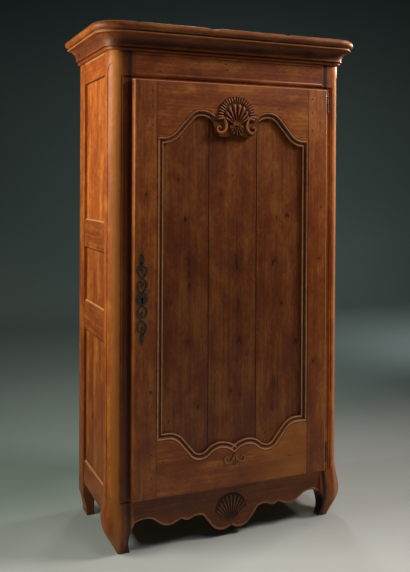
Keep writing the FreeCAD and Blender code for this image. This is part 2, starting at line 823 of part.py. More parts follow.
cornice_axis = (COLUMN_X, COLUMN_Y)
cornice_run = extruded(
    "cornice_run", cornice_outline("cornice_run_outline", f"-{COLUMN_X}"), X_AXIS, f"2 * {COLUMN_X}")
corner_outline = cornice_outline("cornice_corner_outline", COLUMN_X)
cornice_bend_front = turned("cornice_bend_front", corner_outline, cornice_axis, 0, 45)
cornice_bend_side = turned("cornice_bend_side", corner_outline, cornice_axis, 45, 45)
cornice_front = fuse(
    "cornice_front", [cornice_run, cornice_bend_front, mirrored("cornice_bend_left", cornice_bend_front)])
cornice_side_run = extruded("cornice_side_run", sketch("cornice_side_outline", "front", [
    (f"{HALF} + {out}", f"body_height + {up}", *bend) for out, up, *bend in CORNICE_SECTION
], COLUMN_Y), Y_AXIS, f"{BACK} - {COLUMN_Y}")
cornice_right = fuse("cornice_right", [cornice_bend_side, cornice_side_run])

CORNICE_INNER = f"({HALF} - cornice_foot)"
CORNICE_WALL_IN = f"({HALF} + cornice_wall - roof_ledge)"
cornice_back = prism("cornice_back", "front", [
    (f"-{CORNICE_INNER}", "body_height"),
    (CORNICE_INNER, "body_height"),
    (CORNICE_INNER, "body_height + cornice_foot_high"),
    (CORNICE_WALL_IN, "body_height + cornice_foot_high"),
    (CORNICE_WALL_IN, f"body_height + {ROOF_LEVEL}"),
    (f"-{CORNICE_WALL_IN}", f"body_height + {ROOF_LEVEL}"),
    (f"-{CORNICE_WALL_IN}", "body_height + cornice_foot_high"),
    (f"-{CORNICE_INNER}", "body_height + cornice_foot_high"),
], f"{BACK} - cornice_back_thick", BACK)

ROOF_HALF = f"({HALF} + cornice_wall - fit_gap)"
ROOF_FRONT = f"({FRONT} - cornice_wall + fit_gap)"
ROOF_CORNER = "corner_radius + cornice_wall - fit_gap"
ROOF_SPAN = (f"body_height + {ROOF_LEVEL}", f"body_height + {ROOF_LEVEL} + roof_board_thick")
roof_board_front = prism("roof_board_front", "plan", [
    (f"-{COLUMN_X}", ROOF_FRONT, ROOF_CORNER),
    (COLUMN_X, ROOF_FRONT),
    (ROOF_HALF, COLUMN_Y, ROOF_CORNER),
    (ROOF_HALF, "roof_split"),
    (f"-{ROOF_HALF}", "roof_split"),
    (f"-{ROOF_HALF}", COLUMN_Y),
], *ROOF_SPAN)
roof_board_rear = box(
    "roof_board_rear", (f"-{ROOF_HALF}", ROOF_HALF), ("roof_split + fit_gap", BACK), ROOF_SPAN)


# ---------------------------------------------------------------------------------------------
# Door: stiles, arched top rail, waved bottom rail and a panel of three boards
# ---------------------------------------------------------------------------------------------
door_front = number(DOOR_FRONT)
door_thick = number("door_thick")
door_bottom = number("door_bottom")
door_top = number(DOOR_TOP)
stile_in = number(STILE_IN)
sticking = number("sticking_width")
arch_corner = number("arch_corner")
wave_corner = number("wave_corner")
tongue_offset = sticking - number("door_tongue")
SQUARE = door_thick
# The moulding on the inner edges of the door frame as (across, depth): quirk, bead, hollow, fillet.
STICKING = [
    (0, SQUARE),
    (0, 2.5),
    (4, -0.5),
    (8, -0.5),
    (12, 5),
    (19, 7),
    (23, 4.5),
    (sticking, 8),
    (sticking, SQUARE),
]


def top_steps(offset=0.0):
    """The arched edge of the top rail, from the right-hand corner to the shell."""
    radius = number("arch_radius")
    slope = number("arch_slope")
    sine = math.sin(math.radians(slope))
    cosine = math.cos(math.radians(slope))
    climb = (number("arch_rise") - 2 * radius * (1 - cosine)) / sine
    level_run = stile_in - number("arch_crown") - 2 * radius * sine - climb * cosine
    return walk((stile_in - offset, arch_corner), 180, [
        (level_run - offset,),
        (radius, -slope),
        (climb,),
        (radius, slope),
        (number("arch_inner_radius"), number("arch_inner_turn")),
    ])


def bottom_steps(offset=0.0):
    """The waved edge of the bottom rail, from the left-hand corner to the middle."""
    radius = number("wave_radius")
    slope = number("wave_slope")
    sine = math.sin(math.radians(slope))
    cosine = math.cos(math.radians(slope))
    fall = (number("wave_drop") - 2 * radius * (1 - cosine)) / sine
    level_run = stile_in - number("wave_valley") - 2 * radius * sine - fall * cosine
    hump = number("wave_hump")
    reach = number("wave_valley") - hump
    rise = number("wave_hump_rise")
    bend = math.degrees(2 * math.atan(rise / reach))
    bend_radius = reach / (2 * math.sin(math.radians(bend)))
    centre_radius = number("wave_centre_radius")
    return walk((offset - stile_in, wave_corner), 0, [
        (level_run - offset,),
        (radius, -slope),
        (fall,),
        (radius, slope),
        (bend_radius, bend),
        (bend_radius, -bend),
        (centre_radius, -math.degrees(math.asin(hump / (centre_radius + offset)))),
    ])


def line_between(start, end):
    """A straight edge."""
    return Part.LineSegment(start, end).toShape()


def mirror_across(item):
    """The same edge, face or solid on the other side of the middle."""
    return item.mirror(FreeCAD.Vector(), X_AXIS)


def front_face(corners, level):
    """A straight-sided face in the plane of the door, at a depth."""
    points = [FreeCAD.Vector(x, level, z) for x, z in corners]
    return Part.Face(Part.makePolygon(points + points[:1]))


def door_slab(corners):
    """A straight-sided zone through the whole thickness of the door, with some to spare."""
    return front_face(corners, door_front - 20).extrude(Y_AXIS * (door_thick + 40))


edge_form = prism("door_edge_form", "side", [
    (DOOR_BACK, "door_bottom"),
    (DOOR_BACK, DOOR_TOP),
    (f"{DOOR_FRONT} + door_edge_round", DOOR_TOP),
    (DOOR_FRONT, f"{DOOR_TOP} - door_edge_round", "door_edge_round"),
    (f"{DOOR_FRONT} - 15", f"{DOOR_TOP} - door_edge_round"),
    (f"{DOOR_FRONT} - 15", "door_bottom + door_edge_round"),
    (DOOR_FRONT, "door_bottom + door_edge_round"),
    (f"{DOOR_FRONT} + door_edge_round", "door_bottom", "door_edge_round"),
], f"-{DOOR_HALF}", DOOR_HALF)

# Panel: the opening grown by its tongue, as one blank that also cuts the slots around it.
panel_level = door_front + number("sticking_depth")
blank_top = run_edges(top_steps(tongue_offset), tongue_offset, panel_level)
blank_bottom = run_edges(bottom_steps(tongue_offset), tongue_offset, panel_level)
blank_bottom = [mirror_across(edge) for edge in blank_bottom]
top_end = beside(top_steps(tongue_offset)[-1], tongue_offset, panel_level)
top_start = beside(top_steps(tongue_offset)[0], tongue_offset, panel_level)
bottom_end = beside(bottom_steps(tongue_offset)[-1], tongue_offset, panel_level)
bottom_start = beside(bottom_steps(tongue_offset)[0], tongue_offset, panel_level)
top_middle = FreeCAD.Vector(0, panel_level, top_end.z)
bottom_middle = FreeCAD.Vector(0, panel_level, bottom_end.z)
blank_half = closed_face(blank_top + blank_bottom + [
    line_between(top_end, top_middle),
    line_between(top_middle, bottom_middle),
    line_between(FreeCAD.Vector(-bottom_start.x, panel_level, bottom_start.z), top_start),
]).extrude(Y_AXIS * number("panel_thick"))
panel_blank = shape("panel_blank", blank_half.fuse(mirror_across(blank_half)).removeSplitter())


def panel_board(name, left, right):
    """One board of the door panel, between two joints."""
    strip = box(name + "_strip", (left, right), (PANEL_FRONT, PANEL_BACK), ("door_bottom", DOOR_TOP))
    return common(name, panel_blank, strip)


panel_boards = [
    panel_board("door_panel_left", f"-{STILE_IN}", "joint_left"),
    panel_board("door_panel_middle", "joint_left", "joint_right"),
    panel_board("door_panel_right", "joint_right", STILE_IN),
]


def door_tenons(name, low, high):
    """The pair of tenons of a door rail in its stiles."""
    right = box(
        name + "_right_tenon", (STILE_IN, f"{STILE_IN} + door_tenon_length"),
        (f"{DOOR_FRONT} + 12", f"{DOOR_FRONT} + 24"), (low, high))
    return [right, mirrored(name + "_left_tenon", right)]


top_tenons = door_tenons("door_top", "arch_corner + 20", f"{DOOR_TOP} - 20")
bottom_tenons = door_tenons("door_bottom", "door_bottom + 20", "wave_corner - 20")

# Stile with its straight moulding, mitred at both ends.
stile_plank = common("stile_plank", edge_form, prism("stile_plank_block", "plan", [
    (STILE_IN, DOOR_FRONT),
    (f"{DOOR_HALF} - door_edge_round", DOOR_FRONT),
    (DOOR_HALF, f"{DOOR_FRONT} + door_edge_round", "door_edge_round"),
    (DOOR_HALF, f"{DOOR_BACK} - hinge_edge_chamfer"),
    (f"{DOOR_HALF} - hinge_edge_chamfer", DOOR_BACK),
    (STILE_IN, DOOR_BACK),
], "door_bottom", DOOR_TOP))
stile_run = walk((stile_in, wave_corner), 90, [(arch_corner - wave_corner,)])
stile_mitre = door_slab([
    (stile_in, wave_corner),
    (stile_in, arch_corner),
    (stile_in - sticking, arch_corner - sticking),
    (stile_in - sticking, wave_corner + sticking),
])
stile_sticking = shape("stile_sticking", run_moulding(stile_run, STICKING, door_front).common(stile_mitre))
stile_right = fuse("stile_right", [stile_plank, stile_sticking])
stile_left = mirrored("stile_left", stile_right)

# Top rail: board above the arched moulding, the two mouldings, the plate that hangs under the shell.
top_run = top_steps()
top_inner_end = beside(top_run[-1], sticking, door_front)
top_outer_end = beside(top_run[-1], 0, door_front)
arch_edges = run_edges(top_run, 0, door_front) + [line_between(top_outer_end, top_inner_end)]
rail_corner = FreeCAD.Vector(stile_in, door_front, arch_corner)
rail_top = FreeCAD.Vector(stile_in, door_front, door_top)
arch_edges.append(line_between(rail_corner, rail_top))
top_board = closed_face(arch_edges + [mirror_across(edge) for edge in arch_edges] + [
    line_between(rail_top, mirror_across(Part.Vertex(rail_top)).Point),
    line_between(top_inner_end, mirror_across(Part.Vertex(top_inner_end)).Point),
]).extrude(Y_AXIS * door_thick)
top_moulding = run_moulding(top_run, STICKING, door_front)
top_zone = door_slab([
    (stile_in, arch_corner),
    (stile_in - sticking, arch_corner - sticking),
    (stile_in - sticking, arch_corner - 2 * sticking),
    (sticking - stile_in, arch_corner - 2 * sticking),
    (sticking - stile_in, arch_corner - sticking),
    (-stile_in, arch_corner),
    (-stile_in, door_top),
    (stile_in, door_top),
])
top_joined = top_board.fuse([top_moulding, mirror_across(top_moulding)]).common(top_zone)
top_rail_board = shape("top_rail_board", top_joined.removeSplitter())
hanging_plate = prism("hanging_plate", "front", [
    ("-shell_half_width - 22", "shell_hang + 70"),
    ("-shell_half_width + 6", "shell_hang + 8", "60"),
    ("shell_half_width - 6", "shell_hang + 8", "300"),
    ("shell_half_width + 22", "shell_hang + 70", "60"),
], DOOR_FRONT, PANEL_FRONT)


SHELL_RIBS = 9
RIB_START = 6.0
RIB_SPREAD = 0.165
shell_middle = FreeCAD.Vector(0, door_front, number("shell_height"))
shell_lift = number("shell_centre - shell_height")


def rib_reach(angle, radius):
    """The distance from the hub to a circle round the middle of the shell's rim."""
    return shell_lift * math.sin(angle) + math.sqrt(radius ** 2 - (shell_lift * math.cos(angle)) ** 2)


def shell_rib(place):
    """One rib of the shell: a ridge that widens and rises from the hub, then falls to the scalloped rim."""
    angle = math.radians(8 + 164 * place / (SHELL_RIBS - 1))
    outward = FreeCAD.Vector(math.cos(angle), 0, math.sin(angle))
    across = FreeCAD.Vector(-math.sin(angle), 0, math.cos(angle))
    crest = rib_reach(angle, number("shell_crest"))
    rim = rib_reach(angle, number("shell_radius"))

    def station(distance, half, height):
        """The two feet, sunk a little in the door, and the ridge between them."""
        foot = shell_middle + outward * distance + Y_AXIS
        return foot + across * half, foot - across * half, foot - Y_AXIS * (height + 1)

    start_half = 2.0
    crest_half = crest * RIB_SPREAD
    relief = number("shell_relief")
    start_height = (relief + 1) * start_half / crest_half - 1
    left_1, right_1, ridge_1 = station(RIB_START, start_half, start_height)
    left_2, right_2, ridge_2 = station(crest, crest_half, relief)
    left_3, right_3, ridge_3 = station(rim, rim * RIB_SPREAD, number("shell_rim_relief"))
    outlines = [
        (left_1, left_2, left_3, right_3, right_2, right_1),
        (left_1, ridge_1, ridge_2, left_2),
        (right_1, right_2, ridge_2, ridge_1),
        (left_1, right_1, ridge_1),
        (left_2, ridge_2, left_3),
        (left_3, ridge_2, ridge_3),
        (right_2, right_3, ridge_2),
        (right_3, ridge_3, ridge_2),
        (left_3, ridge_3, right_3),
    ]
    faces = [Part.Face(Part.makePolygon(outline + outline[:1])) for outline in outlines]
    rib = Part.makeSolid(Part.makeShell(faces))
    return rib if rib.Volume > 0 else rib.reversed()


shell_hub = Part.makeCylinder(number("shell_hub"), 9, shell_middle + Y_AXIS, -Y_AXIS)
shell_fan = shape("shell_fan", shell_hub.fuse([shell_rib(place) for place in range(SHELL_RIBS)]))

# A scroll curls round on each side of the shell, and a small one hangs from each side of the cusp.
SIDE_SCROLL = walk((92, 1712), 128, [(24, 112), (40, 52), (17, 150), (10, 100)])
CUSP_SCROLL = walk((2, 352), 290, [(14,), (22, 70), (11, 200)])


def scroll_pair(name, run, half_width, height):
    """A carved stem along a run and its twin, square in section and sunk a little in the door."""
    stem = run_moulding(
        run, [(-half_width, 1), (-half_width, -height), (half_width, -height), (half_width, 1)], door_front)
    return shape(name, stem.fuse(mirror_across(stem)))


shell_scrolls = scroll_pair("shell_scrolls", SIDE_SCROLL, 5.5, 7)
cusp_scrolls = scroll_pair("cusp_scrolls", CUSP_SCROLL, 3.5, 3)
top_rail_edged = common("top_rail_edged", top_rail_board, edge_form)

# Bottom rail: board under the waved moulding and its two mitred halves.
bottom_run = bottom_steps()
wave_edges = run_edges(bottom_run, 0, door_front)
low_corner = FreeCAD.Vector(-stile_in, door_front, door_bottom)
wave_edges.append(line_between(low_corner, FreeCAD.Vector(-stile_in, door_front, wave_corner)))
bottom_board = closed_face(wave_edges + [mirror_across(edge) for edge in wave_edges] + [
    line_between(low_corner, mirror_across(Part.Vertex(low_corner)).Point),
]).extrude(Y_AXIS * door_thick)
wave_zone = door_slab([
    (-stile_in, wave_corner),
    (-stile_in, door_bottom),
    (0, door_bottom),
    (0, wave_corner + 2 * sticking),
    (sticking - stile_in, wave_corner + 2 * sticking),
    (sticking - stile_in, wave_corner + sticking),
])
wave_moulding = run_moulding(bottom_run, STICKING, door_front).common(wave_zone)
bottom_joined = bottom_board.fuse([wave_moulding, mirror_across(wave_moulding)])
bottom_rail_board = shape("bottom_rail_board", bottom_joined.removeSplitter())
bottom_rail_edged = common("bottom_rail_edged", bottom_rail_board, edge_form)


# ---------------------------------------------------------------------------------------------
# Barrel hinges: a pin on the post leaf and a socket on the door leaf
# ---------------------------------------------------------------------------------------------
def hinge_round(name, corners, level):
    """A turned part of the hinge; corners are (distance from the pin's middle, height)."""
    drawing = sketch(name + "_outline", "front", [
        (f"{HINGE_X} + {out}", f"{level} + ({up})", *bend) for out, up, *bend in corners
    ], HINGE_Y)
    return turned(name, drawing, (HINGE_X, HINGE_Y), 0, 360)


def post_leaf(name, level):
    """The lower half of a hinge: knuckle, pin and the plate that goes into the post."""
    barrel = hinge_round(name + "_barrel", [
        ("0", "-knuckle_height - finial_height"),
        ("barrel_radius", "-knuckle_height"),
        ("barrel_radius", "-knuckle_gap / 2"),
        ("pin_radius", "-knuckle_gap / 2"),
        ("pin_radius", "knuckle_height - 4"),
        ("0", "knuckle_height - 4"),
    ], level)
    plate = box(
        name + "_plate", (f"{HINGE_X} - leaf_thick / 2", f"{HINGE_X} + leaf_thick / 2"),
        (HINGE_Y, f"{HINGE_Y} + leaf_length"), (f"{level} - 2 - leaf_height", f"{level} - 2"))
    return fuse(name, [barrel, plate]), plate


def door_leaf(name, level):
    """The upper half of a hinge: socket, finial and the plate that goes into the door."""
    barrel = hinge_round(name + "_barrel", [
        ("pin_radius + pin_clearance", "knuckle_gap / 2"),
        ("barrel_radius", "knuckle_gap / 2"),
        ("barrel_radius", "knuckle_height"),
        ("0", "knuckle_height + finial_height"),
        ("0", "knuckle_height - 3"),
        ("pin_radius + pin_clearance", "knuckle_height - 3"),
    ], level)
    plate = box(
        name + "_plate", (f"{HINGE_X} - leaf_length", f"{HINGE_X} - (pin_radius + barrel_radius) / 2"),
        (f"{HINGE_Y} - leaf_thick / 2", f"{HINGE_Y} + leaf_thick / 2"),
        (f"{level} + 2", f"{level} + 2 + leaf_height"))
    return fuse(name, [barrel, plate]), plate


post_leaf_low, post_plate_low = post_leaf("hinge_post_leaf_low", "hinge_low")
post_leaf_high, post_plate_high = post_leaf("hinge_post_leaf_high", "hinge_high")
door_leaf_low, door_plate_low = door_leaf("hinge_door_leaf_low", "hinge_low")
door_leaf_high, door_plate_high = door_leaf("hinge_door_leaf_high", "hinge_high")


# ---------------------------------------------------------------------------------------------
# Pegs through the joints
# ---------------------------------------------------------------------------------------------
PEG_TURN = FreeCAD.Rotation(X_AXIS, -90)
DOOR_PEG_X = f"({STILE_IN} + 20)"
DOOR_PEGS = [
    "door_bottom + 43", "door_bottom + 86", "door_bottom + 177",
    "arch_corner + 45", "arch_corner + 120", "arch_corner + 180",
]
FRAME_PEG_X = f"({POST_IN} + 29)"
# Heights of the frame pegs, with how far the face they stand in lies in front of the posts' face.
FRAME_PEGS = [
    ("apron_spring + 18", "11.2"), ("band_foot + 8", "-band_depth"),
    ("band_head + 22", "0"), ("body_height - 20", "0"),
]


def split_peg(name, radius, length, place):
    """A peg split and shaved to eight flats, laid along Y with its foot at three expressions."""
    solid = document.addObject("Part::Prism", name)
    solid.Polygon = 8
    solid.setExpression("Circumradius", sized(radius))
    solid.setExpression("Height", sized(length))
    solid.Placement = FreeCAD.Placement(FreeCAD.Vector(), PEG_TURN)
    for letter, text in zip("xyz", place):
        solid.setExpression(f".Placement.Base.{letter}", sized(text))
    return solid


def peg(name, place, foot, length):
    """A peg and the slightly wider hole it sits in."""
    solid = split_peg(name, "peg_radius", length, (place[0], foot, place[1]))
    hole = split_peg(
        name + "_hole", "peg_radius + pin_clearance", f"{length} + 5",
        (place[0], f"{foot} - 5", place[1]))
    return solid, hole


def both_sides(pieces):
    """Pieces on the right with their mirror images on the left."""
    return pieces + [mirrored(piece.Name + "_left", piece) for piece in pieces]


door_peg_pairs = [
    peg(f"door_peg_{place}", (DOOR_PEG_X, level), f"{DOOR_FRONT} - peg_proud", "door_thick + peg_proud")
    for place, level in enumerate(DOOR_PEGS)
]
frame_peg_pairs = [
    peg(
        f"frame_peg_{place}", (FRAME_PEG_X, level), f"{FRONT} - ({swell}) - peg_proud",
        f"frame_peg_length + ({swell})")
    for place, (level, swell) in enumerate(FRAME_PEGS)
]
door_pegs = both_sides([pair[0] for pair in door_peg_pairs])
frame_pegs = both_sides([pair[0] for pair in frame_peg_pairs])
door_holes_right = [pair[1] for pair in door_peg_pairs]
frame_holes_right = [pair[1] for pair in frame_peg_pairs]
door_holes = both_sides(door_holes_right)
frame_holes = both_sides(frame_holes_right)
door_holes_left = door_holes[len(door_holes_right):]
frame_holes_left = frame_holes[len(frame_holes_right):]
LOW_PEGS = slice(0, 3)
HIGH_PEGS = slice(3, 6)
APRON_PEGS = slice(0, 2)
FRIEZE_PEGS = slice(2, 4)


def door_rail_holes(span):
    """The peg holes of one door rail, right and left."""
    return door_holes_right[span] + door_holes_left[span]


def frame_rail_holes(span):
    """The peg holes of one front rail, right and left."""
    return frame_holes_right[span] + frame_holes_left[span]


# ---------------------------------------------------------------------------------------------
# Lock: case, bolt, keeper and pierced plate
# ---------------------------------------------------------------------------------------------
BOLT_Z = "(lock_height + 20)"
KEY_Z = "(lock_height - 6)"
lock_block = box(
    "lock_block", (LOCK_EDGE, f"{LOCK_EDGE} + lock_width"), (DOOR_BACK, f"{DOOR_BACK} + lock_deep"),
    ("lock_height - lock_tall / 2", "lock_height + lock_tall / 2"))
bolt_channel = box(
    "bolt_channel", (f"{LOCK_EDGE} - 1", f"{LOCK_EDGE} + bolt_length + 2"),
    (f"{BOLT_Y} - bolt_thick / 2 - bolt_clearance", f"{BOLT_Y} + bolt_thick / 2 + bolt_clearance"),
    (f"{BOLT_Z} - bolt_tall / 2 - bolt_clearance", f"{BOLT_Z} + bolt_tall / 2 + bolt_clearance"))
lock_bolt = box(
    "lock_bolt", (f"{LOCK_EDGE} - 0.5", f"{LOCK_EDGE} - 0.5 + bolt_length"),
    (f"{BOLT_Y} - bolt_thick / 2", f"{BOLT_Y} + bolt_thick / 2"),
    (f"{BOLT_Z} - bolt_tall / 2", f"{BOLT_Z} + bolt_tall / 2"))
key_slot = box(
    "key_slot", (f"{KEY_X} - keyhole_wide / 2", f"{KEY_X} + keyhole_wide / 2"),
    (f"{DOOR_FRONT} - 5", f"{DOOR_BACK} + lock_deep - 4"), (f"{KEY_Z} - keyhole_tall", KEY_Z))
key_round = cylinder(
    "key_round", "keyhole_wide * 0.9", "door_thick + lock_deep + 1",
    (KEY_X, f"{DOOR_FRONT} - 5", KEY_Z), PEG_TURN)
keyhole = fuse("keyhole", [key_slot, key_round])
lock_case = cut("lock_case", lock_block, [bolt_channel, keyhole])

KEEPER_FACE = f"(-{POST_IN})"
keeper_plate = box(
    "keeper_plate", (f"{KEEPER_FACE} - keeper_thick", KEEPER_FACE),
    (f"{BOLT_Y} - bolt_thick / 2 - keeper_margin / 2", f"{BOLT_Y} + bolt_thick / 2 + keeper_margin"),
    (f"{BOLT_Z} - bolt_tall / 2 - keeper_margin", f"{BOLT_Z} + bolt_tall / 2 + keeper_margin"))
keeper_pocket = box(
    "keeper_pocket", (f"{KEEPER_FACE} - bolt_throw - 4", f"{KEEPER_FACE} + 1"),
    (f"{BOLT_Y} - bolt_thick / 2 - 1", f"{BOLT_Y} + bolt_thick / 2 + 1"),
    (f"{BOLT_Z} - bolt_tall / 2 - 1", f"{BOLT_Z} + bolt_tall / 2 + 1"))
lock_keeper = cut("lock_keeper", keeper_plate, [keeper_pocket])

plate_x = number(KEY_X)
plate_z = number(KEY_Z)
plate_level = number(f"{DOOR_FRONT} - plate_thick")
bar = number("plate_bar")


CHISEL_TURN = 30


def flat_bar(start, heading, moves):
    """A flat strip of iron that follows a run, its bends chiselled out in short straight cuts."""
    cuts = []
    for move in moves:
        count = math.ceil(abs(move[-1]) / CHISEL_TURN) if len(move) == 2 else 1
        cuts += [(*move[:-1], move[-1] / count)] * count
    steps = walk(start, heading, cuts)
    outer = [beside(step, bar / 2, plate_level) for step in steps]
    inner = [beside(step, -bar / 2, plate_level) for step in reversed(steps)]
    return Part.Face(Part.makePolygon(outer + inner + outer[:1])).extrude(Y_AXIS * number("plate_thick"))


def flat_leaf(corners):
    """A pointed leaf, symmetrical about the plate's middle."""
    right = [(plate_x + out, plate_z + up) for out, up in corners]
    left = [(plate_x - out, plate_z + up) for out, up in reversed(corners) if out]
    return front_face(right + left, plate_level).extrude(Y_AXIS * number("plate_thick"))


scroll = flat_bar((plate_x + 9, plate_z + 24), 40, [(26, 100), (11,), (16, -130), (9, 200)])
leaf = flat_leaf([(0, 104), (8, 118), (9, 132), (4, 146), (7, 157), (0, 183)])
upper_half = scroll.fuse([scroll.mirror(FreeCAD.Vector(plate_x, 0, 0), X_AXIS), leaf])
lower_half = upper_half.mirror(FreeCAD.Vector(0, 0, plate_z), Z_AXIS)
boss_centre = FreeCAD.Vector(plate_x, plate_level, plate_z)
boss_curve = Part.Ellipse(
    boss_centre + Z_AXIS * number("plate_boss_tall"), boss_centre + X_AXIS * number("plate_boss_wide"),
    boss_centre)
boss = Part.Face(Part.Wire([boss_curve.toShape()])).extrude(Y_AXIS * number("plate_thick"))
plate_iron = shape("plate_iron", boss.fuse([upper_half, lower_half]).removeSplitter())
lock_plate = cut("lock_plate", plate_iron, [keyhole])


# ---------------------------------------------------------------------------------------------
# The finished pieces: mortises, holes, left-hand twins
# ---------------------------------------------------------------------------------------------
front_post_right = cut(
    "front_post_right", post_mortised, [post_plate_low, post_plate_high] + frame_holes_right)
front_post_left = cut(
    "front_post_left", mirrored("post_mortised_left", post_mortised),
    [keeper_plate, keeper_pocket] + frame_holes_left)
frieze_done = cut("frieze_rail", frieze_rail, frame_rail_holes(FRIEZE_PEGS))
apron_done = cut("apron_rail", apron_rail, frame_rail_holes(APRON_PEGS))

door_hinge_stile = cut(
    "door_hinge_stile", stile_right,
    [panel_blank, door_plate_low, door_plate_high, top_tenons[0], bottom_tenons[0]] + door_holes_right)
door_lock_stile = cut(
    "door_lock_stile", stile_left, [panel_blank, keyhole, top_tenons[1], bottom_tenons[1]] + door_holes_left)
door_top_rail = cut(
    "door_top_rail",
    fuse("top_rail_solid", [top_rail_edged, hanging_plate, shell_fan, shell_scrolls] + top_tenons),
    [panel_blank] + door_rail_holes(HIGH_PEGS))
door_bottom_rail = cut(
    "door_bottom_rail", fuse("bottom_rail_solid", [bottom_rail_edged, cusp_scrolls] + bottom_tenons),
    [panel_blank] + door_rail_holes(LOW_PEGS))


def group(name, pieces):
    """Identical small pieces kept together as separate solids."""
    together = document.addObject("Part::Compound", name)
    together.Links = pieces
    return together


def left_twin(piece):
    """The left-hand twin of a right-hand piece, named after its side."""
    return mirrored(piece.Name.replace("_right", "_left"), piece)


right_hand = side_panels + side_rails + bearers_right + [rear_post_right, cornice_right]
left_hand = [left_twin(piece) for piece in right_hand]
single = [
    front_post_right, front_post_left, frieze_done, apron_done,
    back_rail_top, back_rail_foot, floor_board_front, floor_board_rear,
    cornice_front, cornice_back, roof_board_front, roof_board_rear,
    door_hinge_stile, door_lock_stile, door_top_rail, door_bottom_rail,
    post_leaf_low, post_leaf_high, door_leaf_low, door_leaf_high,
    lock_case, lock_bolt, lock_keeper, lock_plate,
    group("door_pegs", door_pegs), group("frame_pegs", frame_pegs),
]
nodes = right_hand + left_hand + single + back_boards + shelves + panel_boards

document.recompute()
for item in document.Objects:
    if "Invalid" in item.State or "Error" in item.State:
        raise RuntimeError(f"{item.Name} did not rebuild: {item.State}")
for node in nodes:
    if node.Shape.isNull() or not node.Shape.isValid():
        raise RuntimeError(f"{node.Name} has no sound shape")

os.makedirs(PARTS_FOLDER, exist_ok=True)
for node in nodes:
    node.Label = node.Name
    node.Shape.exportStep(f"{PARTS_FOLDER}/{node.Label}.step")
    print(f"{node.Label}: {len(node.Shape.Solids)} solid(s), {node.Shape.Volume / 1e3:.1f} cm3")
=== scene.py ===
"""A one-door bonnetiere cupboard in waxed fruitwood, dressed on its construction model.

Shared frame in metres: X across the front, Y from the front to the back, Z up from the floor.
"""
import json
import math

import bmesh
import bpy
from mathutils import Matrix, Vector, noise


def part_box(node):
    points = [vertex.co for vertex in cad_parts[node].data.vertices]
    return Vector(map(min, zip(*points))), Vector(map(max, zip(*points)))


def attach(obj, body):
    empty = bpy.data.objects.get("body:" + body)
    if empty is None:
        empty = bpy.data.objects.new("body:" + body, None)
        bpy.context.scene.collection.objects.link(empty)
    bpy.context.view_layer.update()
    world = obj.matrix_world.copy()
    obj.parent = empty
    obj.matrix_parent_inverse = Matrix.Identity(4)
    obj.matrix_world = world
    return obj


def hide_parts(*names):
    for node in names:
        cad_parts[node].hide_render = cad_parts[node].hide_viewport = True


bl_info = {
    "name": "Bonnetiere Cupboard",
    "version": (1, 0, 0),
    "blender": (4, 5, 0),
    "location": "3D View > Sidebar > Cupboard",
    "description": "Dresses a framed one-door cupboard with mouldings, carving, ironwork and waxed wood",
    "category": "Object",
}

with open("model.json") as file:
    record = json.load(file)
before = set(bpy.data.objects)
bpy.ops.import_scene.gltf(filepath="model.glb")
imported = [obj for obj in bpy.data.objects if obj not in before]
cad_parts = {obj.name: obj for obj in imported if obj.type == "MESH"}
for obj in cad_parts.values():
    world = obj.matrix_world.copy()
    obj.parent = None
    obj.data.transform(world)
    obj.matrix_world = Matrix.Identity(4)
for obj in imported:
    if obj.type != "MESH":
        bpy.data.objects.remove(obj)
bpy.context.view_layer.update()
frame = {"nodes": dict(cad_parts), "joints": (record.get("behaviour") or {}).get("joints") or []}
MM = 0.001
DOOR_THICK = 36 * MM
DOOR_PROUD = 33 * MM
RAIL_TENON = 45 * MM

# Faces that every piece is set against, read from the construction.
BODY_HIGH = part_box("rear_post_right")[1]
STILE_LOW, STILE_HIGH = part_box("door_hinge_stile")
PANEL_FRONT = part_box("door_panel_middle")[0].y
DOOR_BACK = STILE_HIGH.y
DOOR_FRONT = DOOR_BACK - DOOR_THICK
DOOR_HALF = STILE_HIGH.x
DOOR_FOOT = STILE_LOW.z
DOOR_HEAD = STILE_HIGH.z
BODY_HALF = BODY_HIGH.x
BODY_BACK = BODY_HIGH.y
BODY_HEIGHT = BODY_HIGH.z
BODY_FRONT = DOOR_FRONT + DOOR_PROUD
POST_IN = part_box("frieze_rail")[1].x - RAIL_TENON


def linear(colour):
    """An sRGB hex colour as linear values, as every shader socket wants them."""
    channels = [int(colour[place:place + 2], 16) / 255 for place in (1, 3, 5)]
    return tuple(c / 12.92 if c <= 0.04045 else ((c + 0.055) / 1.055) ** 2.4 for c in channels)


def colour_property(name, description, colour):
    """A colour that a user can change, with its default given in sRGB hex."""
    return bpy.props.FloatVectorProperty(
        name=name, description=description, subtype="COLOR", size=3, min=0, max=1, default=linear(colour))


def length_property(name, description, millimetres):
    """A size that a user can change, with its default given in millimetres."""
    return bpy.props.FloatProperty(
        name=name, description=description, unit="LENGTH", default=millimetres * MM, min=0)


def angle_property(name, description, degrees):
    """An angle that a user can change, with its default given in degrees."""
    return bpy.props.FloatProperty(
        name=name, description=description, subtype="ANGLE", default=math.radians(degrees))


def number_property(name, description, value):
    """A plain number that a user can change."""
    return bpy.props.FloatProperty(name=name, description=description, default=value)


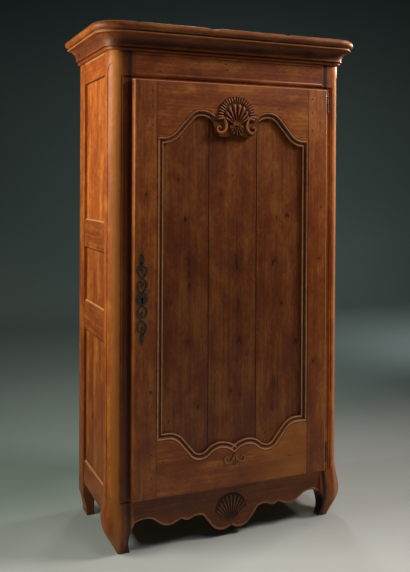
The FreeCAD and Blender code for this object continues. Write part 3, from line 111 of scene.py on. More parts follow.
# ---------------------------------------------------------------------------------------------
# Sizes and colours
# ---------------------------------------------------------------------------------------------
class CupboardFinish(bpy.types.PropertyGroup):
    """Colours and grain of the wood and the iron."""
    wood_light: colour_property("Light wood", "Waxed fruitwood where hands have polished it", "#b9742c")
    wood_mid: colour_property("Wood", "Waxed fruitwood", "#8c4519")
    wood_dark: colour_property("Dark wood", "Late growth and old wax in the pores", "#4e240d")
    # Rubbed wood is also the colour of painted highlights on lit arrises and crests.
    wood_worn_and_highlight: colour_property("Rubbed wood", "Crests and arrises rubbed pale", "#c8976a")
    # The knot colour also paints shadow lines and, with old wax, the painted shade in hollows.
    knot_and_shadow: colour_property("Knots", "Knots and resin flecks", "#1e0e07")
    oak: colour_property("Oak", "Plain oak of the back, floor and shelves", "#8d6c48")
    oak_dark: colour_property("Dark oak", "Late growth of the plain oak", "#5c4530")
    iron: colour_property("Iron", "Blackened forged iron", "#33372f")
    rust: colour_property("Rust", "Old rust on the iron", "#4a3224")
    grain_width: length_property("Grain", "Spacing of the growth lines", 7)
    edge_wear: length_property("Edge wear", "How far the arrises are rubbed round", 1.4)


class DoorSizes(bpy.types.PropertyGroup):
    """The shaped frame of the door."""
    stile_width: length_property("Stile", "Width of a stile without its moulding", 94)
    edge_round: length_property("Edge", "Rounding of the door's outer edge", 7)
    arch_corner: length_property("Arch foot", "Height of the arch where it meets the stiles", 1648)
    arch_rise: length_property("Arch rise", "Rise of the arch over its foot", 115)
    arch_crown: length_property("Arch crown", "Distance of each crown from the middle", 152)
    arch_radius: length_property("Arch bend", "Radius of the two outer bends of the arch", 75)
    arch_slope: angle_property("Arch slope", "Slope of the arch between its bends", 48.5)
    arch_inner_radius: length_property("Inner bend", "Radius of the bend that runs into the shell", 95)
    arch_inner_turn: angle_property("Inner turn", "Turn of the bend that runs into the shell", 50)
    wave_corner: length_property("Wave end", "Height of the wave where it meets the stiles", 444)
    wave_drop: length_property("Wave drop", "Fall of the wave from its ends to its valleys", 100)
    wave_valley: length_property("Wave valley", "Distance of each valley from the middle", 152)
    wave_radius: length_property("Wave bend", "Radius of the wave's outer bends", 60)
    wave_slope: angle_property("Wave slope", "Slope of the wave between its bends", 50)
    wave_hump: length_property("Hump", "Distance of each hump from the middle", 62)
    wave_hump_rise: length_property("Hump rise", "Rise of each hump over the valleys", 36)
    wave_centre_radius: length_property("Cusp bend", "Radius of the bends that meet in the middle", 80)


class CarvingSizes(bpy.types.PropertyGroup):
    """The shells and scrolls."""
    shell_centre: length_property("Shell centre", "Height of the middle of the shell's rim", 1736)
    shell_hub: length_property("Shell hub", "Height where the flutes meet", 1701)
    shell_inner: length_property("Flute ends", "Radius where the flutes end", 56)
    shell_outer: length_property("Ray ends", "Radius where the rays end", 88)
    shell_relief: length_property("Relief", "Height of the shell over the door", 11)
    shell_flutes: bpy.props.IntProperty(name="Flutes", description="Number of flutes", default=8, min=3)
    shell_rays: bpy.props.IntProperty(name="Rays", description="Number of rays on the rim", default=23, min=5)
    fan_hub: length_property("Apron hub", "Height where the flutes of the apron's shell meet", 60)
    fan_centre: length_property("Apron centre", "Height of the middle of the apron's shell", 108)
    fan_radius: length_property("Apron shell", "Radius of the apron's shell", 71)
    fan_relief: length_property("Apron relief", "Height of the apron's shell", 4)


class IronSizes(bpy.types.PropertyGroup):
    """The lock plate and the hinges."""
    plate_centre: length_property("Keyhole", "Height of the keyhole", 1012)
    plate_inset: length_property("Plate inset", "Distance of the plate's middle from the door's edge", 33)
    plate_thick: length_property("Plate", "Thickness of the plate", 2.4)
    bar_width: length_property("Bars", "Width of the scrolled bars", 7.8)
    nail_radius: length_property("Nails", "Radius of the nail heads", 2.6)


class StageLook(bpy.types.PropertyGroup):
    """Floor, backdrop, lamps and camera."""
    # The floor and backdrop colours grade from pale in front to dark behind and above: painted falloff of light.
    floor: colour_property("Floor", "Pale studio floor", "#f3f8fc")
    floor_far: colour_property("Floor behind", "Floor further back", "#8ea29f")
    backdrop: colour_property("Backdrop", "Painted backdrop low down", "#a3b8b4")
    backdrop_top: colour_property("Backdrop top", "Painted backdrop high up", "#445356")
    key_power: number_property("Key", "Power of the side lamp, in watts", 38)
    fill_power: number_property("Fill", "Power of the front lamp, in watts", 30)
    floor_power: number_property("Top", "Power of the lamp over the floor, in watts", 12)
    back_power: number_property("Back", "Power of the lamp behind the cupboard, in watts", 7)
    edge_power: number_property("Edge", "Power of the lamp on the right edge, in watts", 8)
    backdrop_power: number_property("Backdrop lamp", "Power of the lamp on the backdrop, in watts", 25)
    lens: number_property("Lens", "Focal length, in millimetres", 47.64)
    heading: angle_property("Heading", "Turn of the camera from the cupboard's depth", 23)
    shift: number_property("Shift", "Vertical shift of the lens", -0.1757)


GROUPS = {
    "cupboard_finish": CupboardFinish,
    "cupboard_door": DoorSizes,
    "cupboard_carving": CarvingSizes,
    "cupboard_iron": IronSizes,
    "cupboard_stage": StageLook,
}


# ---------------------------------------------------------------------------------------------
# Lines
# ---------------------------------------------------------------------------------------------
LINE_STEP = 4 * MM


def walk(start, heading, moves):
    """Points along a run. A move is (length,), or (radius, turn in radians) with a left turn positive."""
    x, z = start
    points = [Vector((x, z))]
    for move in moves:
        if len(move) == 1:
            x += move[0] * math.cos(heading)
            z += move[0] * math.sin(heading)
            points.append(Vector((x, z)))
            continue
        radius, turn = move
        side = math.copysign(radius, turn)
        centre = Vector((x - side * math.sin(heading), z + side * math.cos(heading)))
        steps = max(4, math.ceil(abs(turn) * radius / LINE_STEP))
        for step in range(1, steps + 1):
            now = heading + turn * step / steps
            points.append(centre + Vector((side * math.sin(now), -side * math.cos(now))))
        x, z = points[-1]
        heading += turn
    return points


def bends(corners):
    """Points along an outline; an arc leads to a corner (x, z, radius), its centre left of the travel."""
    points = [Vector(corners[0][:2])]
    for corner in corners[1:]:
        start = points[-1]
        end = Vector(corner[:2])
        if len(corner) == 2:
            points.append(end)
            continue
        chord = end - start
        half = chord.length / 2
        side = math.copysign(1, corner[2])
        normal = Vector((-chord.y, chord.x)).normalized() * side
        centre = start + chord / 2 + normal * math.sqrt(max(0, corner[2] ** 2 - half ** 2))
        turn = side * 2 * math.asin(min(1, half / abs(corner[2])))
        steps = max(6, math.ceil(abs(turn * corner[2]) / LINE_STEP))
        first = start - centre
        for step in range(1, steps + 1):
            now = turn * step / steps
            points.append(centre + Vector((
                first.x * math.cos(now) - first.y * math.sin(now),
                first.x * math.sin(now) + first.y * math.cos(now))))
    return points


def smooth_line(controls, count):
    """A smooth curve through a few control points, as evenly many points between each two."""
    padded = [controls[0]] + list(controls) + [controls[-1]]
    line = []
    for before, start, end, after in zip(padded, padded[1:], padded[2:], padded[3:]):
        for step in range(count):
            t = step / count
            line.append(tuple(
                0.5 * (2 * b + (c - a) * t + (2 * a - 5 * b + 4 * c - d) * t * t
                       + (3 * b - a - 3 * c + d) * t ** 3)
                for a, b, c, d in zip(before, start, end, after)))
    line.append(tuple(controls[-1]))
    return line


def mirror_line(points):
    """The same line on the other side of the middle, walked the other way."""
    return [Vector((-point.x, point.y)) for point in reversed(points)]


def whole_turn(count):
    """Evenly many angles once round."""
    return [2 * math.pi * step / count for step in range(count)]


# ---------------------------------------------------------------------------------------------
# Meshes
# ---------------------------------------------------------------------------------------------
SOFT_ANGLE = math.radians(32)
MERGE = 0.01 * MM


def mesh_of(name, bm):
    """A mesh with all its faces turned outwards."""
    bmesh.ops.recalc_face_normals(bm, faces=bm.faces)
    mesh = bpy.data.meshes.new(name)
    bm.to_mesh(mesh)
    bm.free()
    return mesh


def shade_smooth(mesh):
    """Shade a mesh smooth but for its hard edges."""
    mesh.polygons.foreach_set("use_smooth", [True] * len(mesh.polygons))
    mesh.set_sharp_from_angle(angle=SOFT_ANGLE)


def linked(name, data):
    """An object in the scene for a mesh, a lamp or a camera."""
    made = bpy.data.objects.new(name, data)
    bpy.context.scene.collection.objects.link(made)
    return made


def piece(name, bm, body, material):
    """Close a mesh, turn its faces outwards, shade it and let it ride on its body."""
    bmesh.ops.remove_doubles(bm, verts=bm.verts, dist=MERGE)
    bmesh.ops.dissolve_degenerate(bm, edges=bm.edges, dist=MERGE)
    mesh = mesh_of(name, bm)
    shade_smooth(mesh)
    mesh.materials.append(material)
    made = linked(name, mesh)
    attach(made, body)
    return made


def float_layer(bm, name):
    """The layer of a mesh that holds one value per point."""
    return bm.verts.layers.float.get(name) or bm.verts.layers.float.new(name)


def skin(bm, rings, closed_section=True, closed_path=False, shades=None):
    """Faces between rings of points, with a cap on each open end; shades hold a value per section point."""
    shades = shades or {}
    layers = {name: float_layer(bm, name) for name in shades}
    rows = [[bm.verts.new(point) for point in ring] for ring in rings]
    for name, layer in layers.items():
        for row in rows:
            for vert, share in zip(row, shades[name]):
                vert[layer] = share
    count = len(rows[0])
    pairs = list(zip(rows, rows[1:]))
    if closed_path:
        pairs.append((rows[-1], rows[0]))
    for first, second in pairs:
        for place in range(count if closed_section else count - 1):
            after = (place + 1) % count
            bm.faces.new((first[place], first[after], second[after], second[place]))
    if closed_section and not closed_path:
        bm.faces.new(rows[0])
        bm.faces.new(list(reversed(rows[-1])))


# Smallest cosine that a mitre is lengthened for, so that a sharp corner doesn't run away.
MITRE_LIMIT = 0.35


def across_normals(points, closed=False):
    """For each point of a line, the direction to its left, lengthened at a corner so that mitres meet."""
    normals = []
    last = len(points) - 1
    for place, point in enumerate(points):
        before = points[place - 1] if place or closed else None
        after = points[(place + 1) % len(points)] if place < last or closed else None
        ways = []
        if before is not None:
            ways.append((point - before).normalized())
        if after is not None:
            ways.append((after - point).normalized())
        sides = [Vector((-way.y, way.x)) for way in ways]
        middle = sum(sides, Vector((0, 0))).normalized()
        normals.append(middle / max(MITRE_LIMIT, middle.dot(sides[0])))
    return normals


def door_rings(points, section, normals=None, front=DOOR_FRONT):
    """Rings of a moulding that follows a line in the plane of the door; the section is in millimetres."""
    normals = normals or across_normals(points)
    return [
        [Vector((point.x + side.x * across * MM, front + deep * MM, point.y + side.y * across * MM))
         for across, deep in section]
        for point, side in zip(points, normals)
    ]


def slab(bm, outline, front, back, soft=0.0, soft_edges=None):
    """A board with an outline in the plane of the door, with some of its front edges rounded."""
    near = [bm.verts.new((point.x, front, point.y)) for point in outline]
    far = [bm.verts.new((point.x, back, point.y)) for point in outline]
    bm.faces.new(near)
    bm.faces.new(list(reversed(far)))
    for place in range(len(near)):
        after = (place + 1) % len(near)
        bm.faces.new((near[after], near[place], far[place], far[after]))
    if soft:
        edges = [
            bm.edges.get((near[place], near[(place + 1) % len(near)])) for place in range(len(near))
            if soft_edges is None or soft_edges(outline[place], outline[(place + 1) % len(near)])
        ]
        bmesh.ops.bevel(
            bm, geom=edges, offset=soft, offset_type="OFFSET", segments=5, profile=0.5,
            affect="EDGES", clamp_overlap=True)


def eased(value, low, high):
    """A soft step from 0 to 1 between two values."""
    share = min(1.0, max(0.0, (value - low) / (high - low)))
    return share * share * (3 - 2 * share)


STEM_SIDES = 10


def carved_stem(bm, controls, level, count=8, rubbed=0.8):
    """A rounded stem along control points (x, z, radius, height) in millimetres, half sunk in the wood."""
    hollow, worn = float_layer(bm, "hollow"), float_layer(bm, "worn")
    line = smooth_line(controls, count)
    points = [Vector((x, z)) * MM for x, z, *_ in line]
    normals = across_normals(points)
    before = set(bm.verts)
    rings = []
    for (_, _, radius, height), point, side in zip(line, points, normals):
        ring = []
        for angle in whole_turn(STEM_SIDES):
            out = radius * math.cos(angle) * MM
            rise = height * math.sin(angle) * MM
            ring.append(Vector((point.x + side.x * out, level - rise, point.y + side.y * out)))
        rings.append(ring)
    skin(bm, rings)
    top = max(height for *_, height in controls) * MM
    # Dark low on the flanks, old wax and painted shade, and pale on the crest, rubbing and painted highlight.
    for vert in bm.verts:
        if vert not in before:
            share = (level - vert.co.y) / top
            vert[hollow] = 0.85 * (1 - eased(share, 0.05, 0.95 - 0.5 * rubbed))
            vert[worn] = rubbed * eased(share, 0.6, 0.95)


def mirror_mesh(bm):
    """Add the left-hand twin of everything in a mesh that is drawn on the right."""
    twin = bmesh.ops.duplicate(bm, geom=bm.verts[:] + bm.edges[:] + bm.faces[:])
    verts = [item for item in twin["geom"] if isinstance(item, bmesh.types.BMVert)]
    faces = [item for item in twin["geom"] if isinstance(item, bmesh.types.BMFace)]
    for vert in verts:
        vert.co.x = -vert.co.x
    bmesh.ops.reverse_faces(bm, faces=faces)


# ---------------------------------------------------------------------------------------------
# Materials
# ---------------------------------------------------------------------------------------------
def plug(tree, node, inputs):
    """Set a node's sockets, by name or number, to values or to other nodes' outputs."""
    for name, value in inputs.items():
        if isinstance(value, bpy.types.NodeSocket):
            tree.links.new(value, node.inputs[name])
        else:
            node.inputs[name].default_value = value


def add(tree, kind, inputs=None, **settings):
    """Add a node; inputs maps a socket's name or number to a value or to another node's output."""
    made = tree.nodes.new(kind)
    for name, value in settings.items():
        setattr(made, name, value)
    plug(tree, made, inputs or {})
    return made


# Short names of the nodes used most: kind, settings, inputs in order and output. Blend mixes two colours by a
# share, spread carries a range of values smoothly to 0 to 1 or to another range, vector joins three numbers, and
# random is a number that differs from copy to copy.
SHORT_NAMES = {
    "blend": ("ShaderNodeMix", {"data_type": "RGBA"}, (0, 6, 7), 2),
    "spread": ("ShaderNodeMapRange", {"interpolation_type": "SMOOTHSTEP"}, (0, 1, 2, 3, 4), 0),
    "vector": ("ShaderNodeCombineXYZ", {}, (0, 1, 2), 0),
    "random": ("FunctionNodeRandomValue", {"data_type": "FLOAT"}, ("Min", "Max", "Seed"), "Value"),
}


def calc(tree, name, *values):
    """The result of a node with a short name, or of a maths node named by its operation."""
    maths = ("ShaderNodeMath", {"operation": name}, (0, 1, 2), 0)
    kind, settings, sockets, output = SHORT_NAMES.get(name, maths)
    return add(tree, kind, dict(zip(sockets, values)), **settings).outputs[output]


def plus(tree, first, second, share):
    """The first value and a share of the second."""
    return calc(tree, "ADD", first, calc(tree, "MULTIPLY", second, share))


def blank_material(name):
    """A material with an empty surface: its node tree, its shader and the place on the piece."""
    material = bpy.data.materials.new(name)
    material.use_nodes = True
    tree = material.node_tree
    tree.nodes.clear()
    shader = add(tree, "ShaderNodeBsdfPrincipled")
    add(tree, "ShaderNodeOutputMaterial", {"Surface": shader.outputs[0]})
    return material, tree, shader, add(tree, "ShaderNodeTexCoord").outputs["Object"]


def paint(name):
    """One of the cupboard's colours, as a shader socket wants it."""
    return (*getattr(bpy.context.scene.cupboard_finish, name), 1)


def stretched(tree, place, along, across):
    """A place whose unit is so long along the grain and so wide across it, in millimetres."""
    scale = (1 / (across * MM), 1 / (across * MM), 1 / (along * MM))
    return add(tree, "ShaderNodeMapping", {"Vector": place, "Scale": scale}).outputs[0]


def stretched_noise(tree, place, along, across, detail=3.0, rough=0.55, warp=0.0):
    """Noise whose features are so long along the grain and so wide across it, in millimetres."""
    return add(tree, "ShaderNodeTexNoise", {
        "Vector": stretched(tree, place, along, across), "Scale": 1.0, "Detail": detail, "Roughness": rough,
        "Distortion": warp}).outputs[0]


GRAIN_TURNS = {
    "upright": (0, 0, 0),
    "across": (0, math.pi / 2, 0),
    "deep": (math.pi / 2, 0, 0),
}


# How far the next board's cut lies from the last one's in each kind of wood.
FRUITWOOD_STEP = (0.731, 0.417, 1.13)
OAK_STEP = (0.59, 0.37, 0.93)


def along_grain(tree, raw, grain, seed, step):
    """The place in a board, turned so that Z runs along the grain and moved to a cut of its own."""
    return add(tree, "ShaderNodeMapping", {
        "Vector": raw, "Rotation": GRAIN_TURNS[grain],
        "Location": [seed * length for length in step]}).outputs[0]


def waxed_fruitwood(name, grain, seed, tone=0.0, knots=(), marks=(), foot=0.0):
    """Cherry, hand planed, stained by age and waxed: mottled figure, faint streaks, dark flecks and knots."""
    material, tree, shader, raw = blank_material(name)
    place = along_grain(tree, raw, grain, seed, FRUITWOOD_STEP)

    # Growth rings cut lengthwise: lines a few millimetres apart that wander along the board.
    wander = stretched_noise(tree, place, 480, 60, 2.0)
    pitch = 1 / bpy.context.scene.cupboard_finish.grain_width * 0.3
    sized = add(tree, "ShaderNodeMapping", {"Vector": place, "Scale": (pitch, pitch, 0.5)}).outputs[0]
    lifted = add(tree, "ShaderNodeVectorMath", {
        0: sized, 1: calc(tree, "MULTIPLY", wander, 26.0)}, operation="ADD")
    rings = add(tree, "ShaderNodeTexWave", {
        "Vector": lifted.outputs[0], "Scale": 0.55, "Distortion": 1.2, "Detail": 2.0, "Detail Scale": 1.4},
        bands_direction="X", wave_profile="SAW").outputs[1]
    figure = calc(tree, "spread", stretched_noise(tree, place, 620, 70, 3.0, 0.6), 0.3, 0.7)
    streaks = calc(tree, "spread", stretched_noise(tree, place, 300, 7, 5.0, 0.62), 0.28, 0.72)
    clouds = calc(tree, "spread", stretched_noise(tree, place, 150, 85, 5.0, 0.66, 0.4), 0.32, 0.68)
    mottle = calc(tree, "spread", stretched_noise(tree, place, 22, 11, 4.0, 0.7), 0.3, 0.7)
    pores = stretched_noise(tree, place, 13, 0.8, 2.0)

    tint = 0.0
    for share, layer in ((0.26, figure), (0.2, streaks), (0.1, rings), (0.28, clouds), (0.16, mottle)):
        tint = plus(tree, tint, layer, share)
    lower = calc(tree, "spread", tint, -0.1, 0.55)
    colour = calc(tree, "blend", lower, paint("wood_dark"), paint("wood_mid"))
    colour = calc(tree, "blend", calc(tree, "spread", tint, 0.4, 0.95), colour, paint("wood_light"))
    colour = calc(tree, "blend", calc(tree, "spread", pores, 0.42, 0.26, 0.0, 0.45), colour, paint("wood_dark"))
    # The board's tone, which on the front posts is partly painted light.
    tone_and_light = (1 + tone, 1 + tone * 0.95, 1 + tone * 0.75, 1)
    colour = add(tree, "ShaderNodeMix", {
        0: 1.0, 6: colour, 7: tone_and_light}, data_type="RGBA", blend_type="MULTIPLY").outputs[2]

    # Darker towards the floor.
    sides = add(tree, "ShaderNodeSeparateXYZ", {0: raw}).outputs
    if foot:
        colour = calc(tree, "blend", calc(tree, "spread", sides[2], 1.75, 0.7, 0.0, foot), colour, paint("knot_and_shadow"))

    # Joints with the next board, painted highlights on lit arrises and painted shadow lines: a line, ragged along
    # its length. A dark line, joint and painted shadow alike, has a soft halo.
    if marks:
        uneven = stretched_noise(tree, raw, 60, 60, 3.0)
        for axis, value, strength, wide, kind in marks:
            gap = calc(tree, "ABSOLUTE", calc(tree, "SUBTRACT", sides[axis], value))
            gap = plus(tree, gap, uneven, -1.6 * MM)
            if kind == "knot_and_shadow":
                halo = calc(tree, "spread", gap, 3.6 * wide, 0.1 * wide, 0.0, strength * 0.35)
                colour = calc(tree, "blend", halo, colour, paint("wood_dark"))
            line = calc(tree, "spread", gap, wide, 0.15 * wide, 0.0, strength)
            colour = calc(tree, "blend", line, colour, paint(kind))

    # Dark flecks scattered along the grain, many small ones and a few larger.
    for across, along, keep, strength in ((24, 64, 0.62, 0.75), (88, 170, 0.7, 0.7)):
        cell = add(tree, "ShaderNodeTexVoronoi", {
            "Vector": stretched(tree, place, along, across), "Scale": 1.0, "Randomness": 1.0})
        chance = add(tree, "ShaderNodeSeparateColor", {0: cell.outputs["Color"]}).outputs[0]
        size = calc(tree, "MULTIPLY", calc(tree, "spread", chance, keep, 1.0), 0.14)
        share = calc(tree, "SUBTRACT", size, cell.outputs["Distance"])
        colour = calc(tree, "blend", calc(tree, "spread", share, -0.03, 0.07, 0.0, strength), colour, paint("knot_and_shadow"))

    # Knots: a ragged dark heart with checks that run along the grain, in a softer halo.
    ragged = stretched_noise(tree, raw, 26, 5, 4.0, 0.7)
    halo_shape = stretched_noise(tree, raw, 60, 30, 2.0)
    for x, y, z, wide, tall in knots:
        away = add(tree, "ShaderNodeVectorMath", {0: raw, 1: (x, y, z)}, operation="SUBTRACT").outputs[0]
        flat = {
            "upright": (1 / wide, 0, 1 / tall),
            "across": (1 / tall, 0, 1 / wide),
            "deep": (0, 1 / tall, 1 / wide),
        }[grain]
        away = add(tree, "ShaderNodeVectorMath", {0: away, 1: flat}, operation="MULTIPLY").outputs[0]
        away = add(tree, "ShaderNodeVectorMath", {0: away}, operation="LENGTH").outputs["Value"]
        heart = calc(tree, "SUBTRACT", calc(tree, "MULTIPLY", ragged, 6.0), calc(tree, "ADD", away, 2.0))
        halo = calc(tree, "SUBTRACT", calc(tree, "MULTIPLY", halo_shape, 5.5), away)
        halo = calc(tree, "spread", halo, -0.6, 2.4, 0.0, 0.4)
        colour = calc(tree, "blend", halo, colour, paint("wood_dark"))
        colour = calc(tree, "blend", calc(tree, "spread", heart, 0.0, 1.0, 0.0, 0.9), colour, paint("knot_and_shadow"))

    # Carved work and mouldings are darker in their hollows: old wax, and painted shade where shadow falls there; a
    # piece without the attribute reads nothing.
    hollow = add(tree, "ShaderNodeAttribute", attribute_name="hollow").outputs["Fac"]
    colour = calc(tree, "blend", calc(tree, "MULTIPLY", hollow, 0.82), colour, paint("knot_and_shadow"))
    # Crests paled, partly rubbed by hands and dusters and partly a painted highlight where light catches them; less
    # so high up.
    worn = add(tree, "ShaderNodeAttribute", attribute_name="worn").outputs["Fac"]
    worn = calc(tree, "MULTIPLY", worn, calc(tree, "spread", mottle, 0.0, 0.7, 0.45, 0.8))
    worn = calc(tree, "MULTIPLY", worn, calc(tree, "spread", sides[2], 1.7, 0.9, 0.6, 1.0))
    colour = calc(tree, "blend", worn, colour, paint("wood_worn_and_highlight"))

    # Wax gives a soft sheen; the plane has left shallow waves that the light picks out.
    rough = plus(tree, plus(tree, 0.44, mottle, 0.14), hollow, 0.2)
    planed = stretched_noise(tree, place, 240, 38, 2.0)
    height = plus(tree, plus(tree, calc(tree, "MULTIPLY", streaks, 0.5), pores, 0.25), planed, 2.2)
    bump = add(tree, "ShaderNodeBump", {"Height": height, "Strength": 0.4, "Distance": 0.8 * MM})
    plug(tree, shader, {
        "Base Color": colour, "Roughness": rough, "IOR": 1.5, "Specular IOR Level": 0.28, "Coat Weight": 0.05,
        "Coat Roughness": 0.28, "Normal": bump.outputs[0]})
    return material


def plain_oak(name, grain, seed):
    """Oak boards, sawn and roughly planed, never waxed: dull, coarse grained, a little dusty."""
    material, tree, shader, raw = blank_material(name)
    place = along_grain(tree, raw, grain, seed, OAK_STEP)
    figure = stretched_noise(tree, place, 500, 60, 3.0)
    streaks = stretched_noise(tree, place, 120, 4, 4.0, 0.65)
    tint = calc(tree, "spread", plus(tree, figure, streaks, 0.9), 0.6, 1.25)
    bump = add(tree, "ShaderNodeBump", {"Height": streaks, "Strength": 0.5, "Distance": 0.8 * MM})
    plug(tree, shader, {
        "Base Color": calc(tree, "blend", tint, paint("oak_dark"), paint("oak")), "Roughness": 0.78,
        "Normal": bump.outputs[0]})
    return material


def forged_iron(name):
    """Wrought iron, hammered hot and blackened with oil: dark, uneven, a little rusty in its pits."""
    material, tree, shader, raw = blank_material(name)
    dents = stretched_noise(tree, raw, 9, 9, 3.0)
    pits = stretched_noise(tree, raw, 1.6, 1.6, 3.0)
    rusty = calc(tree, "spread", plus(tree, dents, pits, 0.5), 0.72, 0.98)
    height = plus(tree, dents, pits, 0.3)
    bump = add(tree, "ShaderNodeBump", {"Height": height, "Strength": 0.6, "Distance": 0.6 * MM})
    plug(tree, shader, {
        "Base Color": calc(tree, "blend", rusty, paint("iron"), paint("rust")), "Metallic": 0.4,
        "Roughness": calc(tree, "spread", dents, 0.3, 0.7, 0.42, 0.68), "Normal": bump.outputs[0]})
    return material


def oak_peg_wood(name):
    """Cleft oak pegs, cut off proud and rubbed: dark end grain."""
    material, tree, shader, raw = blank_material(name)
    grain = calc(tree, "spread", stretched_noise(tree, raw, 1.4, 1.4, 3.0), 0.35, 0.7)
    colour = calc(tree, "blend", grain, paint("knot_and_shadow"), paint("wood_dark"))
    plug(tree, shader, {"Base Color": colour, "Roughness": 0.6})
    return material


def set_material(node, material):
    """Give a construction piece its material and rub its arrises a little round."""
    target = frame["nodes"][node]
    target.data.materials.clear()
    target.data.materials.append(material)
    weld = target.modifiers.new("merge", "WELD")
    weld.merge_threshold = 2 * MERGE
    flat = target.modifiers.new("flats", "DECIMATE")
    flat.decimate_type = "DISSOLVE"
    flat.angle_limit = math.radians(0.6)
    arris = target.modifiers.new("arris", "BEVEL")
    arris.width = bpy.context.scene.cupboard_finish.edge_wear
    arris.segments = 2
    arris.limit_method = "ANGLE"
    arris.angle_limit = math.radians(40)
    arris.use_clamp_overlap = True


# ---------------------------------------------------------------------------------------------
# Pieces
# ---------------------------------------------------------------------------------------------
MOULDING_SECTION = [
    (0, 36), (0, 2.6), (1.0, 2.9), (1.9, 1.4), (3.2, 0.1), (5.0, -0.5), (6.8, 0.0), (8.2, 1.4), (9.4, 3.4),
    (11.2, 5.3), (13.6, 6.6), (16.4, 7.2), (18.8, 6.9), (19.8, 5.7), (21.2, 4.6), (23.2, 4.2), (25.0, 4.8),
    (26.4, 6.2), (27, 8.4), (27, 36),
]


# How pale and how dark each point of that section is: crests rubbed and given a painted highlight, coves and quirks
# dark with old wax and painted shade.
MOULDING_SHADES = {
    "worn": [0, 0, 0, 0.25, 0.85, 1.0, 0.85, 0.3, 0, 0, 0, 0, 0, 0, 0.4, 0.85, 0.9, 0.3, 0, 0],
    "hollow": [0, 0.6, 1, 0.5, 0, 0, 0, 0.2, 0.6, 0.75, 0.8, 0.85, 0.8, 0.6, 0.2, 0, 0, 0.5, 0.8, 0.3],
}


def door_lines():
    """The inner edge of the door frame: right stile, top to the shell, bottom to the middle."""
    door = bpy.context.scene.cupboard_door
    stile_in = DOOR_HALF - door.stile_width
    bend = door.arch_radius
    sine, cosine = math.sin(door.arch_slope), math.cos(door.arch_slope)
    climb = (door.arch_rise - 2 * bend * (1 - cosine)) / sine
    level = stile_in - door.arch_crown - 2 * bend * sine - climb * cosine
    top = walk((stile_in, door.arch_corner), math.pi, [
        (level,), (bend, -door.arch_slope), (climb,), (bend, door.arch_slope),
        (door.arch_inner_radius, door.arch_inner_turn)])
    bend = door.wave_radius
    sine, cosine = math.sin(door.wave_slope), math.cos(door.wave_slope)
    fall = (door.wave_drop - 2 * bend * (1 - cosine)) / sine
    level = stile_in - door.wave_valley - 2 * bend * sine - fall * cosine
    reach = door.wave_valley - door.wave_hump
    turn = 2 * math.atan(door.wave_hump_rise / reach)
    swing = reach / (2 * math.sin(turn))
    bottom = walk((-stile_in, door.wave_corner), 0, [
        (level,), (bend, -door.wave_slope), (fall,), (bend, door.wave_slope), (swing, turn), (swing, -turn),
        (door.wave_centre_radius, -math.asin(door.wave_hump / door.wave_centre_radius))])
    return stile_in, top, bottom


# The painted sweep in metres: its start in front, depth to the bend, bend, height and half width.
SWEEP_NEAR, SWEEP_DEPTH, SWEEP_BEND, SWEEP_HEIGHT, SWEEP_SIDE = 26.0, 30.5, 2.5, 16.0, 45
# Square soft lamps: place, point they look at and size in metres, colour, opening in degrees, power's property.
LAMPS = (
    ("side_lamp", (-1.95, 0.02, 1.9), (-0.5, 0.0, 1.87), 0.8, "#fff8e4", 180, "key_power"),
    ("front_lamp", (2.6, -1.2, 3.45), (-0.1, -0.25, 1.6), 0.8, "#ffebdc", 100, "fill_power"),
    ("top_lamp", (0.5, -2.3, 4.4), (0.3, -1.5, 0), 1.4, "#f8faff", 120, "floor_power"),
    ("back_lamp", (1.2, 2.9, 3.65), (0.0, 0.2, 1.4), 0.7, "#f8f6f0", 90, "back_power"),
    ("edge_lamp", (3.0, 0.6, 2.5), (0.5, -0.1, 1.75), 0.5, "#ffeccb", 60, "edge_power"),
    ("backdrop_lamp", (3.6, 1.6, 1.5), (2.4, 7.0, 1.3), 1.5, "#fdfdfb", 180, "backdrop_power"),
)
# The air round the sweep: the light that it gives, and what is seen of it past the sweep's edge.
AIR_LIGHT, AIR_SEEN = "#69706f", "#30383a"
# The camera's place in metres, and how far it looks down and leans over, in degrees.
CAMERA_PLACE = (-1.333, -3.057, 1.475)
CAMERA_DIP, CAMERA_ROLL = 0.36, -0.27


